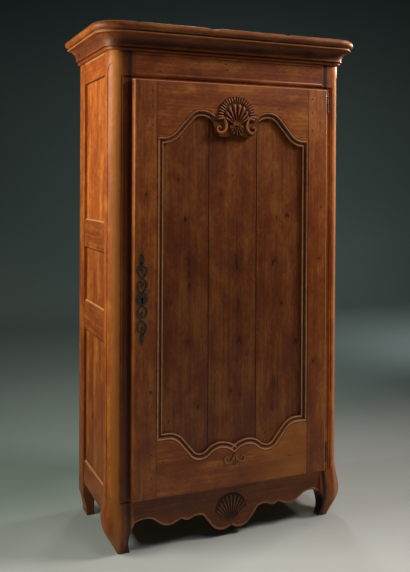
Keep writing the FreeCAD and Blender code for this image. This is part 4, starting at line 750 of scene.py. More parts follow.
class CUPBOARD_OT_stage(bpy.types.Operator):
    """Floor, backdrop, lamps and camera"""
    bl_idname = "cupboard.stage"
    bl_label = "Stage"

    def execute(self, context):
        """Lay the floor into the backdrop and set the lamps and the camera."""
        look = context.scene.cupboard_stage
        floor_material, tree, shader, raw = blank_material("Studio sweep, painted")
        # Painted falloff of light: the pale floor darkens into the backdrop with depth and height, a little
        # unevenly, and is paler towards the right.
        mottle = stretched_noise(tree, raw, 1400, 1400, 3.0)
        split = add(tree, "ShaderNodeSeparateXYZ", {0: raw}).outputs
        away = plus(tree, plus(tree, split["Y"], split["Z"], 1.6), mottle, 0.5)
        away = plus(tree, away, split["X"], -0.3)
        reach = add(tree, "ShaderNodeMapRange", {0: away, 1: -1.0, 2: 14.0}).outputs[0]
        ramp = add(tree, "ShaderNodeValToRGB", {0: reach})
        stops = ramp.color_ramp.elements
        stops[0].color = (*look.floor, 1)
        stops[1].color = (*look.backdrop_top, 1)
        stops.new(0.14).color = (*look.floor_far, 1)
        stops.new(0.45).color = (*look.backdrop, 1)
        plug(tree, shader, {"Base Color": ramp.outputs[0], "Roughness": 0.85, "Specular IOR Level": 0.15})

        bm = bmesh.new()
        profile = walk((-SWEEP_NEAR, 0.0), 0, [(SWEEP_DEPTH,), (SWEEP_BEND, math.pi / 2), (SWEEP_HEIGHT,)])
        rings = [[Vector((side, point.x, point.y)) for side in (-SWEEP_SIDE, SWEEP_SIDE)] for point in profile]
        skin(bm, rings, closed_section=False)
        sweep = linked("studio_sweep", mesh_of("studio_sweep", bm))
        shade_smooth(sweep.data)
        sweep.data.materials.append(floor_material)

        for name, place, aim, size, colour, opening, power in LAMPS:
            lamp = linked(name, bpy.data.lights.new(name, "AREA"))
            lamp.data.size = size
            lamp.data.spread = math.radians(opening)
            lamp.data.energy = getattr(look, power)
            lamp.data.color = linear(colour)
            lamp.location = place
            lamp.rotation_euler = (Vector(aim) - Vector(place)).to_track_quat("-Z", "Y").to_euler()

        world = bpy.data.worlds.new("studio_air")
        world.use_nodes = True
        tree = world.node_tree
        seen = add(tree, "ShaderNodeLightPath").outputs["Is Camera Ray"]
        plug(tree, tree.nodes["Background"], {
            "Color": calc(tree, "blend", seen, (*linear(AIR_LIGHT), 1), (*linear(AIR_SEEN), 1)), "Strength": 0.1})
        context.scene.world = world

        camera = linked("studio_camera", bpy.data.cameras.new("studio_camera"))
        camera.data.lens = look.lens
        camera.data.shift_y = look.shift
        camera.location = CAMERA_PLACE
        camera.rotation_euler = (math.radians(90 - CAMERA_DIP), math.radians(CAMERA_ROLL), -look.heading)
        context.scene.camera = camera
        context.scene.view_settings.view_transform = "Standard"
        return {"FINISHED"}


# How much lighter or darker than the rest each kind of board is: partly the boards' own tone, and the front posts
# are lightened as painted light on their lit rounded corners; the first name that fits counts.
BOARD_TONES = (
    ("door_panel_left", -0.3), ("door_panel_middle", -0.27), ("door_panel_right", -0.2), ("apron", -0.45),
    ("side_panel_high", 0.3), ("side_panel_middle", 0.1), ("side_panel_low", 0.1), ("side_rail_top", 0.35),
    ("side_rail_up", -0.05), ("side_rail", 0.05), ("front_post_left", 0.3), ("front_post_right", 0.35),
    ("frieze", -0.1), ("cornice", -0.5),
)
UPRIGHT_BOARDS = (
    "door_hinge", "door_lock", "front_post", "rear_post", "side_panel", "door_panel", "back_board",
    "door_stile")
DEEP_BOARDS = ("side_rail", "cornice_left", "cornice_right")
OAK_BOARDS = ("back_", "floor_", "shelf_", "roof_", "cornice_back")
# Knots and checks of the boards, as (x, height, half width, half length) in millimetres.
KNOTS = {
    "door_panel_left": [
        (-199, 1090, 3.2, 62), (-200, 1145, 6, 24), (-216, 1317, 6, 12), (-282, 985, 6, 9), (-205, 825, 4, 10),
        (-160, 560, 4, 9), (-250, 1480, 3, 8)],
    "door_panel_middle": [
        (10, 1150, 7, 26), (14, 1118, 10, 20), (27, 815, 7, 18), (31, 590, 5, 14), (-15, 610, 4, 10),
        (-60, 1420, 3, 9), (20, 960, 4, 26)],
    "door_panel_right": [
        (183, 1130, 6, 20), (288, 790, 6, 20), (186, 622, 6, 20), (180, 520, 4, 14), (250, 1330, 5, 8),
        (225, 960, 3, 8)],
    "door_hinge_stile": [(399, 1143, 3, 6), (372, 700, 4, 8)],
    "door_lock_stile": [(-387, 1420, 4, 6), (-372, 1675, 3, 5), (-365, 640, 4, 8)],
}
# Size of the pattern that draws a knot, as shares of the knot's half width and half length.
KNOT_PATTERN = (1.8, 1.1)


def knots_of(name, front):
    """The knots of a board, in metres, on its front."""
    return [
        (x * MM, front, z * MM, wide * KNOT_PATTERN[0] * MM, tall * KNOT_PATTERN[1] * MM)
        for x, z, wide, tall in KNOTS.get(name, ())]


def marks_of(name):
    """Joints of a board, painted highlights on its lit arrises, painted shadow lines and broad lighter patches, as
    (axis, place, strength, half width, colour).
    """
    if name.startswith("side_rail"):
        low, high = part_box(name)
        # The top edge gets a painted highlight where light catches it, the bottom edge a painted shadow line.
        return [(2, high.z, 0.9, 6 * MM, "wood_worn_and_highlight"), (2, low.z, 0.6, 5 * MM, "knot_and_shadow")]

    def joint(place, strength):
        """A fine dark line where the next board begins."""
        return (0, place, strength, 1.9 * MM, "knot_and_shadow")

    # A painted highlight along the door's top edge.
    head = (2, DOOR_HEAD, 0.8, 3 * MM, "wood_worn_and_highlight")
    stile = DOOR_HALF - bpy.context.scene.cupboard_door.stile_width
    left, right = (corner.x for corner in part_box("door_panel_middle"))
    return {
        "door_top_rail": [joint(-stile, 0.35), joint(stile, 0.5), head],
        "door_bottom_rail": [(0, 0.33, 0.4, 0.36, "wood_light"), joint(-stile, 0.3), joint(stile, 0.4)],
        "door_lock_stile": [joint(-stile, 0.35), head],
        # A painted highlight along the hinge stile's outer edge.
        "door_hinge_stile": [joint(stile, 0.5), (0, DOOR_HALF, 0.7, 5 * MM, "wood_worn_and_highlight"), head],
        "door_panel_left": [joint(left, 0.8)],
        "door_panel_middle": [joint(left, 0.8), joint(right, 0.8)],
        "door_panel_right": [joint(right, 0.8)],
        "frieze_rail": [joint(-POST_IN, 0.6), joint(POST_IN, 0.8)],
        "apron_rail": [(0, 0.36, 0.35, 0.3, "wood_mid"), joint(-POST_IN, 0.5), joint(POST_IN, 0.5)],
        # A painted highlight on the rounded corner, and painted shadow of the door on the sunk band beside it.
        "front_post_left": [
            (0, 28 * MM - BODY_HALF, 0.65, 28 * MM, "wood_light"),
            (0, -DOOR_HALF - 24 * MM, 0.5, 24 * MM, "knot_and_shadow"),
            (0, -DOOR_HALF - 9 * MM, 0.85, 13 * MM, "knot_and_shadow")],
        # A painted highlight on the rounded corner, and painted shadow in the gap by the door.
        "front_post_right": [
            (0, BODY_HALF - 18 * MM, 0.65, 18 * MM, "wood_worn_and_highlight"),
            (0, DOOR_HALF + 8 * MM, 0.97, 16 * MM, "knot_and_shadow")],
    }.get(name, [])


def grain_of(name):
    """The way the grain of a board runs."""
    if name.startswith(UPRIGHT_BOARDS):
        return "upright"
    return "deep" if name.startswith(DEEP_BOARDS) or "bearer" in name else "across"


class CUPBOARD_OT_carcass(bpy.types.Operator):
    """Wood of the carcass, the inside and the back"""
    bl_idname = "cupboard.carcass"
    bl_label = "Carcass"

    def execute(self, context):
        """Give every construction piece its own board."""
        pegs = oak_peg_wood("Oak pegs, cleft")
        iron = forged_iron("Wrought iron, hammered and blackened")
        for seed, name in enumerate(sorted(frame["nodes"]), start=1):
            grain = grain_of(name)
            if name.startswith(("hinge_", "lock_")):
                material = iron
            elif name.endswith("_pegs"):
                material = pegs
            elif name.startswith(OAK_BOARDS):
                material = plain_oak(f"Oak, sawn and planed, {name}", grain, seed)
            else:
                tone = next((value for start, value in BOARD_TONES if name.startswith(start)), 0.0)
                material = waxed_fruitwood(
                    f"Fruitwood, planed and waxed, {name}", grain, seed, tone, knots_of(name, PANEL_FRONT),
                    marks_of(name), 0.3 if name.startswith("door_panel") else 0.0)
            set_material(name, material)
        return {"FINISHED"}


KEYHOLE_ROUND = 4.5 * MM
KEYHOLE_SLOT = 2.5 * MM
KEYHOLE_DROP = 20 * MM
KEYHOLE_STEPS = 20
# How far a cutter reaches past the faces that it goes through, in metres.
PAST = 0.01


def keyhole_outline(centre_x, top):
    """The keyhole: a round over a slot; KEYHOLE_SLOT is half the slot's width."""
    foot = top - KEYHOLE_DROP
    half_slot = math.asin(KEYHOLE_SLOT / KEYHOLE_ROUND)
    rim = []
    for step in range(KEYHOLE_STEPS + 1):
        angle = half_slot - math.pi / 2 + (2 * math.pi - 2 * half_slot) * step / KEYHOLE_STEPS
        rim.append(Vector((centre_x + KEYHOLE_ROUND * math.cos(angle), top + KEYHOLE_ROUND * math.sin(angle))))
    return rim + [Vector((centre_x - KEYHOLE_SLOT, foot)), Vector((centre_x + KEYHOLE_SLOT, foot))]


def cut_away(target, bm):
    """Take a closed form out of a closed piece."""
    cutter = linked("cutter", mesh_of("cutter", bm))
    modifier = target.modifiers.new("cut", "BOOLEAN")
    modifier.object = cutter
    modifier.solver = "MANIFOLD"
    graph = bpy.context.evaluated_depsgraph_get()
    result = bpy.data.meshes.new_from_object(target.evaluated_get(graph))
    target.modifiers.clear()
    target.data = result
    bpy.data.objects.remove(cutter)


class CUPBOARD_OT_door_frame(bpy.types.Operator):
    """Stiles and rails of the door with their moulding"""
    bl_idname = "cupboard.door_frame"
    bl_label = "Door frame"

    def execute(self, context):
        """Cut the boards to the arch and the wave and stick the moulding on their edges."""
        door = context.scene.cupboard_door
        stile_in, top, bottom = door_lines()
        arch = top + mirror_line(top)
        wave = bottom + mirror_line(bottom)[1:]
        normals = across_normals(arch + wave, closed=True)
        half = len(top)
        normals[half - 1] = across_normals(top)[-1]
        normals[half] = Vector((-normals[half - 1].x, normals[half - 1].y))
        rings = door_rings(arch + wave, MOULDING_SECTION, normals)
        head = [Vector((-stile_in, DOOR_HEAD)), Vector((stile_in, DOOR_HEAD))]
        foot = [Vector((stile_in, DOOR_FOOT)), Vector((-stile_in, DOOR_FOOT))]
        outer = [Vector((-DOOR_HALF, DOOR_HEAD)), Vector((-DOOR_HALF, DOOR_FOOT))]

        def at_head(first, second):
            """The top edge of the door."""
            return min(first.y, second.y) > DOOR_HEAD - MM

        def at_foot(first, second):
            """The bottom edge of the door."""
            return max(first.y, second.y) < DOOR_FOOT + MM

        def at_rim(first, second):
            """Any edge on the door's rim, but not the joint with a rail."""
            return abs(first.x + second.x) > 2 * stile_in + 2 * MM

        def board(name, node, outline, rounded, runs, grain, seed, tone):
            """One member of the frame: its board and its lengths of moulding."""
            bm = bmesh.new()
            slab(bm, outline, DOOR_FRONT, DOOR_BACK, door.edge_round, rounded)
            for run in runs:
                skin(bm, run, shades=MOULDING_SHADES)
            made = piece(name, bm, "door", waxed_fruitwood(
                f"Fruitwood, planed and waxed, {name}", grain, seed, tone, knots_of(node, DOOR_FRONT),
                marks_of(node), 0.2))
            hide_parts(node)
            return made

        board("door_top_rail_board", "door_top_rail", arch + head, at_head,
              [rings[:half], rings[half:len(arch)]], "across", 71, 0.0)
        board("door_bottom_rail_board", "door_bottom_rail", wave + foot, at_foot,
              [rings[len(arch):]], "across", 83, 0.0)
        left = outer + [Vector((-stile_in, DOOR_FOOT)), Vector((-stile_in, DOOR_HEAD))]
        right = [Vector((-point.x, point.y)) for point in reversed(left)]
        lock = board("door_lock_stile_board", "door_lock_stile", left, at_rim,
                     [[rings[len(arch) - 1], rings[len(arch)]]], "upright", 96, -0.03)
        board("door_hinge_stile_board", "door_hinge_stile", right, at_rim,
              [[rings[-1], rings[0]]], "upright", 107, 0.05)
        iron = context.scene.cupboard_iron
        bm = bmesh.new()
        keyhole = keyhole_outline(iron.plate_inset - DOOR_HALF, iron.plate_centre)
        slab(bm, keyhole, DOOR_FRONT - PAST, DOOR_BACK + PAST)
        cut_away(lock, bm)
        return {"FINISHED"}


# Steps across a flute, along it, and over the flat band round the flutes.
FLUTE_COLUMNS = 16
FLUTE_ROWS = 30
BAND_ROWS = 6


def fan(bm, hub, centre, inner, outer, sweep, flutes, relief, front, base_darkness=0.0):
    """A shell in relief: flutes from a hub to a ring, and a flat band round the ring; the sweep is in degrees."""
    hollow, worn = float_layer(bm, "hollow"), float_layer(bm, "worn")
    hub, centre = Vector((0, hub)), Vector((0, centre))
    first, last = (math.radians(degrees) for degrees in sweep)
    columns = FLUTE_COLUMNS * flutes
    band_rows = BAND_ROWS if outer > inner else 0
    grid = []
    for column in range(columns + 1):
        share = column / columns
        angle = first + (last - first) * share
        toward = Vector((math.cos(angle), math.sin(angle)))
        gap = hub - centre
        reach = -gap.dot(toward) + math.sqrt(gap.dot(toward) ** 2 + inner ** 2 - gap.length_squared)
        edge = hub + toward * reach
        outward = (edge - centre).normalized()
        ridge = math.sin(math.pi * (share * flutes % 1)) ** 2.2
        line = []
        # A flute swells from the hub and dips before the rim; the valleys between flutes and the band round them
        # are dark, old wax and painted shade, and the crests pale, rubbing and painted highlight.
        for row in range(FLUTE_ROWS + 1):
            s = 0.1 + 0.9 * row / FLUTE_ROWS
            lift = eased(s, 0.05, 0.55) * (1 - 0.9 * eased(s, 0.86, 1.0))
            height = 0.28 + 0.72 * ridge * lift
            valley = (1 - eased(ridge, 0.1, 0.75)) * eased(s, 0.05, 0.2)
            shade = base_darkness + (1 - base_darkness) * 0.95 * valley + eased(s, 0.92, 1.0) * 0.8
            rubbed = 0.8 * eased(ridge * lift, 0.65, 1.0) * (1 - base_darkness)
            line.append((hub + toward * reach * s, height, shade, rubbed))
        for row in range(1, band_rows + 1):
            line.append((edge + outward * (outer - inner) * 0.9 * (row / band_rows), 0.3, 0.95, 0.0))
        line.append((line[-1][0], -0.15, 1.0, 0.0))
        grid.append(line)
    rows = []
    for line in grid:
        made = []
        for spot, height, shade, rubbed in line:
            vert = bm.verts.new((spot.x, front - relief * height, spot.y))
            vert[hollow] = min(1.0, max(0.0, shade))
            vert[worn] = rubbed
            made.append(vert)
        rows.append(made)
    for first, second in zip(rows, rows[1:]):
        for place in range(len(first) - 1):
            bm.faces.new((first[place], first[place + 1], second[place + 1], second[place]))


def spiral(middle, start_radius, end_radius, start_angle, turn, thick, height, count=9):
    """Control points of a small volute that winds round a point."""
    controls = []
    for step in range(count):
        share = step / (count - 1)
        radius = start_radius + (end_radius - start_radius) * share
        angle = math.radians(start_angle + turn * share)
        x, z = middle[0] + radius * math.cos(angle), middle[1] + radius * math.sin(angle)
        controls.append((x, z, thick, height))
    return controls


def carved_piece(name, bm, body, part, seed, tone):
    """A piece of carved fruitwood from a board of its own."""
    return piece(name, bm, body, waxed_fruitwood(
        f"Fruitwood, carved and waxed, {part}", "across", seed, tone))


def grown(name, build, sizes, body, material, points=()):
    """A piece from a tree of geometry nodes; sizes are the tree's named inputs, points its own geometry."""
    tree = bpy.data.node_groups.new(name, "GeometryNodeTree")
    tree.interface.new_socket("Points", in_out="INPUT", socket_type="NodeSocketGeometry")
    for label, (kind, value) in sizes.items():
        tree.interface.new_socket(label, in_out="INPUT", socket_type=kind).default_value = value
    tree.interface.new_socket("Geometry", in_out="OUTPUT", socket_type="NodeSocketGeometry")
    inputs = add(tree, "NodeGroupInput").outputs
    parts = add(tree, "GeometryNodeRealizeInstances", {0: build(tree, inputs)}).outputs[0]
    parts = add(tree, "GeometryNodeSetMaterial", {0: parts, "Material": material}).outputs[0]
    add(tree, "NodeGroupOutput", {0: parts})
    holder = linked(name + "_holder", bpy.data.meshes.new(name + "_holder"))
    holder.data.from_pydata(list(points), [], [])
    modifier = holder.modifiers.new("grow", "NODES")
    modifier.node_group = tree
    for item in tree.interface.items_tree:
        if item.name in sizes:
            modifier[item.identifier] = sizes[item.name][1]
    graph = bpy.context.evaluated_depsgraph_get()
    mesh = bpy.data.meshes.new_from_object(holder.evaluated_get(graph))
    bpy.data.objects.remove(holder)
    bm = bmesh.new()
    bm.from_mesh(mesh)
    return piece(name, bm, body, material)


# A ball of a few dozen faces with a radius of 1, which each copy is scaled from.
BALL = {"Segments": 12, "Rings": 8, "Radius": 1.0}


def ring_of_rays(tree, inputs):
    """Short rounded rays set round an arc, each a little unlike the next."""
    points = add(tree, "GeometryNodePoints", {"Count": inputs["Count"]}).outputs[0]
    index = add(tree, "GeometryNodeInputIndex").outputs[0]
    share = calc(tree, "DIVIDE", index, calc(tree, "SUBTRACT", inputs["Count"], 1.0))
    angle = calc(tree, "MULTIPLY_ADD", share, inputs["Sweep"], inputs["Start"])
    uneven = calc(tree, "random", 0.88, 1.06, 4)
    across = calc(tree, "MULTIPLY", calc(tree, "COSINE", angle), inputs["Radius"])
    up = calc(tree, "MULTIPLY_ADD", calc(tree, "SINE", angle), inputs["Radius"], inputs["Height"])
    spot = calc(tree, "vector", across, inputs["Level"], up)
    moved = add(tree, "GeometryNodeSetPosition", {0: points, "Position": spot}).outputs[0]
    ray = add(tree, "GeometryNodeMeshUVSphere", BALL).outputs[0]
    depth = add(tree, "GeometryNodeInputPosition").outputs[0]
    depth = add(tree, "ShaderNodeSeparateXYZ", {0: depth}).outputs[1]
    # Each ray is pale where it stands out and dark where it meets the door: painted highlight with rubbing, painted
    # shade with old wax.
    for label, slope, start in (("worn", -2.2, -1.1), ("hollow", 1.6, 1.2)):
        share = add(tree, "ShaderNodeMath", {
            0: depth, 1: slope, 2: start}, operation="MULTIPLY_ADD", use_clamp=True).outputs[0]
        ray = add(tree, "GeometryNodeStoreNamedAttribute", {
            0: ray, "Name": label, "Value": share}, data_type="FLOAT", domain="POINT").outputs[0]
    turned = calc(tree, "vector", 0.0, calc(tree, "MULTIPLY", angle, -1.0), 0.0)
    long = calc(tree, "MULTIPLY", inputs["Length"], uneven)
    sized = calc(tree, "vector", long, inputs["Relief"], inputs["Width"])
    return add(tree, "GeometryNodeInstanceOnPoints", {
        0: moved, "Instance": ray, "Rotation": turned, "Scale": sized}).outputs[0]


def nail_heads(tree, inputs):
    """A low domed head on every point, each sized a little differently."""
    across = calc(tree, "MULTIPLY", inputs["Radius"], calc(tree, "random", 0.85, 1.15, 11))
    sized = calc(tree, "vector", across, inputs["Rise"], across)
    head = add(tree, "GeometryNodeMeshUVSphere", BALL).outputs[0]
    return add(tree, "GeometryNodeInstanceOnPoints", {
        0: inputs["Points"], "Instance": head, "Scale": sized}).outputs[0]


# The scroll on each side of the shell, as (x, height, half width, rise) in millimetres.
SIDE_SCROLL = [
    (96, 1734, 4.5, 2), (84, 1737, 6.0, 5), (70, 1737, 7.0, 8), (57, 1730, 7.5, 9), (48, 1714, 7.5, 9.5),
    (47, 1694, 7.5, 9.5), (56, 1678, 7.0, 9), (70, 1671, 6.5, 8.5), (82, 1677, 5.5, 8), (85, 1690, 5.0, 7.5),
    (77, 1697, 4.5, 7), (69, 1691, 4.5, 7),
]
# The lower edge of the plate under the shell, from the middle outwards.
PLATE_EDGE = [
    (0, 1659), (16, 1664), (32, 1660), (52, 1655), (74, 1659), (90, 1672), (97, 1692), (104, 1712),
    (108, 1740),
]
# Its upper corner, and the height from which the rail hides its edge, which stays sharp there, in metres.
PLATE_CORNER = (0.104, 1.775)
PLATE_HIDDEN = 1.75
# The volutes under the shell: middle, first and last radius, first angle, turn, half width, rise and points.
VOLUTES = (((9.5, 1706), 7.5, 2.5, 200, -520, 2.2, 8.5, 14), ((24, 1697), 7, 2.5, 150, 420, 2.4, 7, 12))
# The rays: first angle and turn in degrees, then height over the door, half width and rise in millimetres.
RAYS_START, RAYS_SWEEP = -6, 192
RAYS_LEVEL, RAYS_WIDTH, RAYS_RELIEF = 2.2, 3.4, 5.5
# The small shell that hangs below, in metres: hub, centre, two radii, sweep in degrees, flutes and relief.
SMALL_SHELL = (1.708, 1.690, 0.031, 0.031, (200, 340), 7, 8 * MM)
# The stem and curl that hang from the cusp of the wave.
CUSP_SCROLL = [
    (2, 353, 5.5, 3.5), (5, 343, 6.0, 4.5), (9, 331, 6.5, 5), (19, 319, 6.5, 5), (32, 316, 6.5, 5),
    (43, 323, 6.0, 5), (45, 336, 5.5, 4.5), (36, 343, 5.0, 4.5), (28, 336, 4.5, 4.5),
]
CUSP_LEAF = [(3, 340, 2.5, 4), (5, 326, 3.5, 4.5), (4, 314, 3.0, 4), (1, 306, 1.5, 2.5)]


class CUPBOARD_OT_shell(bpy.types.Operator):
    """Shell, scrolls and cusp curls of the door"""
    bl_idname = "cupboard.shell"
    bl_label = "Shell"

    def execute(self, context):
        """Carve the shell on its plate, with a scroll on each side."""
        sizes = context.scene.cupboard_carving
        bm = bmesh.new()
        edge = [Vector((x, z)) * MM for x, z in smooth_line(PLATE_EDGE, 5)]
        x, z = PLATE_CORNER
        outline = edge + [Vector((x, z)), Vector((-x, z))] + mirror_line(edge)[:-1]
        slab(bm, outline, DOOR_FRONT + 1.2 * MM, PANEL_FRONT, 3.5 * MM, lambda a, b: max(a.y, b.y) < PLATE_HIDDEN)
        carved_piece("door_shell_plate", bm, "door", "plate under the shell", 75, -0.45)

        bm = bmesh.new()
        fan(bm, sizes.shell_hub, sizes.shell_centre, sizes.shell_inner, sizes.shell_outer, (24, 156),
            sizes.shell_flutes, sizes.shell_relief, DOOR_FRONT)
        fan(bm, *SMALL_SHELL, DOOR_FRONT, 0.65)
        half = bmesh.new()
        carved_stem(half, SIDE_SCROLL, DOOR_FRONT + 1 * MM)
        for volute in VOLUTES:
            carved_stem(half, spiral(*volute), DOOR_FRONT, count=4)
        mirror_mesh(half)
        twin = bpy.data.meshes.new("half")
        half.to_mesh(twin)
        half.free()
        bm.from_mesh(twin)
        carved_piece("door_shell_carving", bm, "door", "shell", 77, 0.1)
        grown("door_shell_rays", ring_of_rays, {
            "Count": ("NodeSocketInt", sizes.shell_rays),
            "Start": ("NodeSocketFloat", math.radians(RAYS_START)),
            "Sweep": ("NodeSocketFloat", math.radians(RAYS_SWEEP)),
            "Radius": ("NodeSocketFloat", (sizes.shell_inner + sizes.shell_outer) / 2),
            "Height": ("NodeSocketFloat", sizes.shell_centre),
            "Level": ("NodeSocketFloat", DOOR_FRONT - RAYS_LEVEL * MM),
            "Length": ("NodeSocketFloat", (sizes.shell_outer - sizes.shell_inner) / 2),
            "Width": ("NodeSocketFloat", RAYS_WIDTH * MM),
            "Relief": ("NodeSocketFloat", RAYS_RELIEF * MM),
        }, "door", waxed_fruitwood("Fruitwood, carved and waxed, rays", "across", 78, 0.2))

        bm = bmesh.new()
        for controls in (CUSP_SCROLL, CUSP_LEAF):
            carved_stem(bm, controls, DOOR_FRONT + 0.5 * MM, rubbed=0.45)
        mirror_mesh(bm)
        carved_piece("door_cusp_scrolls", bm, "door", "scrolls", 79, -0.5)
        return {"FINISHED"}


# The apron's lower edge from the middle to the right, as in the construction, in millimetres.
APRON_EDGE = [
    (0, 43), (8, 40), (88, 56, 61), (125, 103), (178, 103, -57), (220, 109, 35), (245, 98), (310, 101, 63),
    (345, 126), (426, 119, -95),
]
# The bead along that edge, as (distance in from the edge, depth), and how rubbed and dark each point of it is; the
# dark in its quirks is old wax and painted shade.
APRON_BEAD = [(0, 2), (0, -1.6), (1.4, -2.8), (5.5, -3.1), (8.0, -2.4), (10.0, 0.4), (10.0, 2)]
APRON_SHADES = {"worn": (0, 0, 0.35, 0.4, 0.2, 0, 0), "hollow": (0, 0.5, 0, 0, 0, 0.6, 0.4)}
APRON_FLUTES = 11


class CUPBOARD_OT_apron(bpy.types.Operator):
    """Bead and shell of the apron"""
    bl_idname = "cupboard.apron"
    bl_label = "Apron carving"

    def execute(self, context):
        """Run a bead along the scalloped edge and carve the low shell on the pendant."""
        sizes = context.scene.cupboard_carving
        line = bends([tuple(value * MM for value in corner) for corner in APRON_EDGE])
        bm = bmesh.new()
        skin(bm, door_rings(line, APRON_BEAD, front=BODY_FRONT), shades=APRON_SHADES)
        mirror_mesh(bm)
        carved_piece("apron_bead", bm, "carcass", "apron bead", 58, -0.35)
        bm = bmesh.new()
        fan(bm, sizes.fan_hub, sizes.fan_centre, sizes.fan_radius, sizes.fan_radius, (34, 146), APRON_FLUTES,
            sizes.fan_relief, BODY_FRONT, 0.6)
        carved_piece("apron_shell", bm, "carcass", "apron shell", 59, -0.45)
        return {"FINISHED"}


# The cornice section as (distance out, height) in millimetres, with a radius where an arc leads to a corner.
CORNICE_SECTION = [
    (-38, 0), (3.5, 0), (9.8, 13.4, 7.6), (10, 14), (20, 14), (20, 20), (56, 60, -38), (57.2, 60.6),
    (57.2, 67.6, 3.8), (54, 68.4), (54, 72), (54, 104, 16), (14, 104), (14, 85), (-10, 85), (-10, 22), (-38, 22),
]
CORNICE_TOP = 0.104
# Radius of the rounded corner, and the steps along a side, round the corner and along half the front.
CORNER = 45 * MM
SIDE_STEPS, CORNER_STEPS, FRONT_STEPS = 24, 16, 60
# Wear of the part that stands out past WEAR_FROM: its depth, and how fast it changes level and upwards.
WEAR_FROM, WEAR_DEPTH = 0.03, 0.5 * MM
WEAR_LEVEL, WEAR_UP = 9, 30
# Knocks on the top edge of the cornice, as (x, width, depth) in millimetres.
CORNICE_NICKS = [(-118, 26, 7), (-96, 14, 5), (226, 22, 6), (-430, 12, 3)]


def cornice_stations():
    """Places along the right half of the cornice from the back to the middle, each with its way outwards."""
    axis = Vector((BODY_HALF - CORNER, BODY_FRONT + CORNER))
    stations = []
    for step in range(SIDE_STEPS + 1):
        y = BODY_BACK + (axis.y - BODY_BACK) * step / SIDE_STEPS
        stations.append((Vector((BODY_HALF, y)), Vector((1, 0))))
    for step in range(1, CORNER_STEPS + 1):
        angle = -math.pi / 2 * step / CORNER_STEPS
        way = Vector((math.cos(angle), math.sin(angle)))
        stations.append((axis + way * CORNER, way))
    for step in range(1, FRONT_STEPS + 1):
        stations.append((Vector((axis.x * (1 - step / FRONT_STEPS), BODY_FRONT)), Vector((0, -1))))
    return stations


def cornice_ring(section, place, way, side):
    """The section at one place, worn a little and knocked; a side of -1 is the left half."""
    points = []
    for out, up in section:
        x = (place.x + way.x * out) * side
        y = place.y + way.y * out
        drift = noise.noise(Vector((x * WEAR_LEVEL, y * WEAR_LEVEL, up * WEAR_UP)))
        worn = WEAR_DEPTH * drift if out > WEAR_FROM else 0
        drop = 0.0
        # Only the top edge in front is knocked.
        if up > 0.09 and out > 0.045 and way.y < -0.9:
            for middle, wide, deep in CORNICE_NICKS:
                hit = math.exp(-((x / MM - middle) / wide * 2) ** 2)
                drop += deep * MM * hit * eased(up, 0.094, 0.102)
        points.append(Vector((x, y, BODY_HEIGHT + min(up, CORNICE_TOP) - drop + min(0, worn))))
    return points


class CUPBOARD_OT_cornice(bpy.types.Operator):
    """Cornice"""
    bl_idname = "cupboard.cornice"
    bl_label = "Cornice"

    def execute(self, context):
        """Carry the cornice section round the rounded corners, worn and knocked along its edge."""
        section = bends([tuple(value * MM for value in corner) for corner in CORNICE_SECTION])
        # The top edge and the narrow fillet under it are paled, rubbed by hands and given a painted highlight;
        # under the cove is darkened, old wax and painted shade.
        wear = {
            "worn": [
                max(eased(up, 0.096, 0.102) * eased(out, 0.02, 0.04),
                    0.7 * eased(up, 0.06, 0.062) * (1 - eased(up, 0.067, 0.069)) * eased(out, 0.05, 0.056))
                for out, up in section],
            "hollow": [0.45 * eased(up, 0.018, 0.024) * (1 - eased(up, 0.04, 0.058)) for out, up in section]}
        stations = cornice_stations()
        split = 1 + SIDE_STEPS + CORNER_STEPS // 2
        front = stations[split - 1:]
        lengths = {
            "right": (stations[:split], 1, "deep", 32, -0.2),
            "left": (stations[:split], -1, "deep", 30, -0.2),
            "front": (front, 1, "across", 29, -0.26),
        }
        for name, (run, side, grain, seed, tone) in lengths.items():
            rings = [cornice_ring(section, place, way, side) for place, way in run]
            if name == "front":
                rings += [cornice_ring(section, place, way, -1) for place, way in reversed(front[:-1])]
            bm = bmesh.new()
            skin(bm, rings, shades=wear)
            made = piece(f"cornice_{name}_moulding", bm, "carcass", waxed_fruitwood(
                f"Fruitwood, planed and waxed, cornice {name}", grain, seed, tone))
            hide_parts(f"cornice_{name}")
        return {"FINISHED"}


# Section of a bar, as shares of its width and of the plate's thickness.
BAR_SECTION = [(-0.5, 0.2), (-0.5, -0.62), (-0.34, -1.0), (0.34, -1.0), (0.5, -0.62), (0.5, 0.2)]
# Bars of the upper half of the plate, its leaf and its nails, in millimetres from the keyhole.
PLATE_SCROLLS = [
    [(0, 24), (12, 36), (18, 52), (14, 69), (0, 85), (-14, 100), (-18, 116), (-11, 132), (0, 141)],
    [(-4, 26), (-15, 38), (-19, 52), (-14, 67), (-2, 70), (6, 61), (2, 52), (-5, 54)],
    [(5, 84), (15, 96), (19, 112), (14, 126), (2, 128), (-6, 119), (-2, 110), (5, 112)],
]
PLATE_LEAF = [(0, 130), (7, 140), (10, 150), (5, 160), (8, 168), (3, 176), (0, 183)]
NAILS = [(-2, 60), (1, 117), (0, 152), (2, -60), (-1, -117), (0, -152), (14, 6), (-14, -6)]
NAIL_RISE = 1.3
# Half width and half height of the boss round the keyhole.
BOSS_WIDE, BOSS_TALL = 22 * MM, 28 * MM
BOSS_STEPS = 40


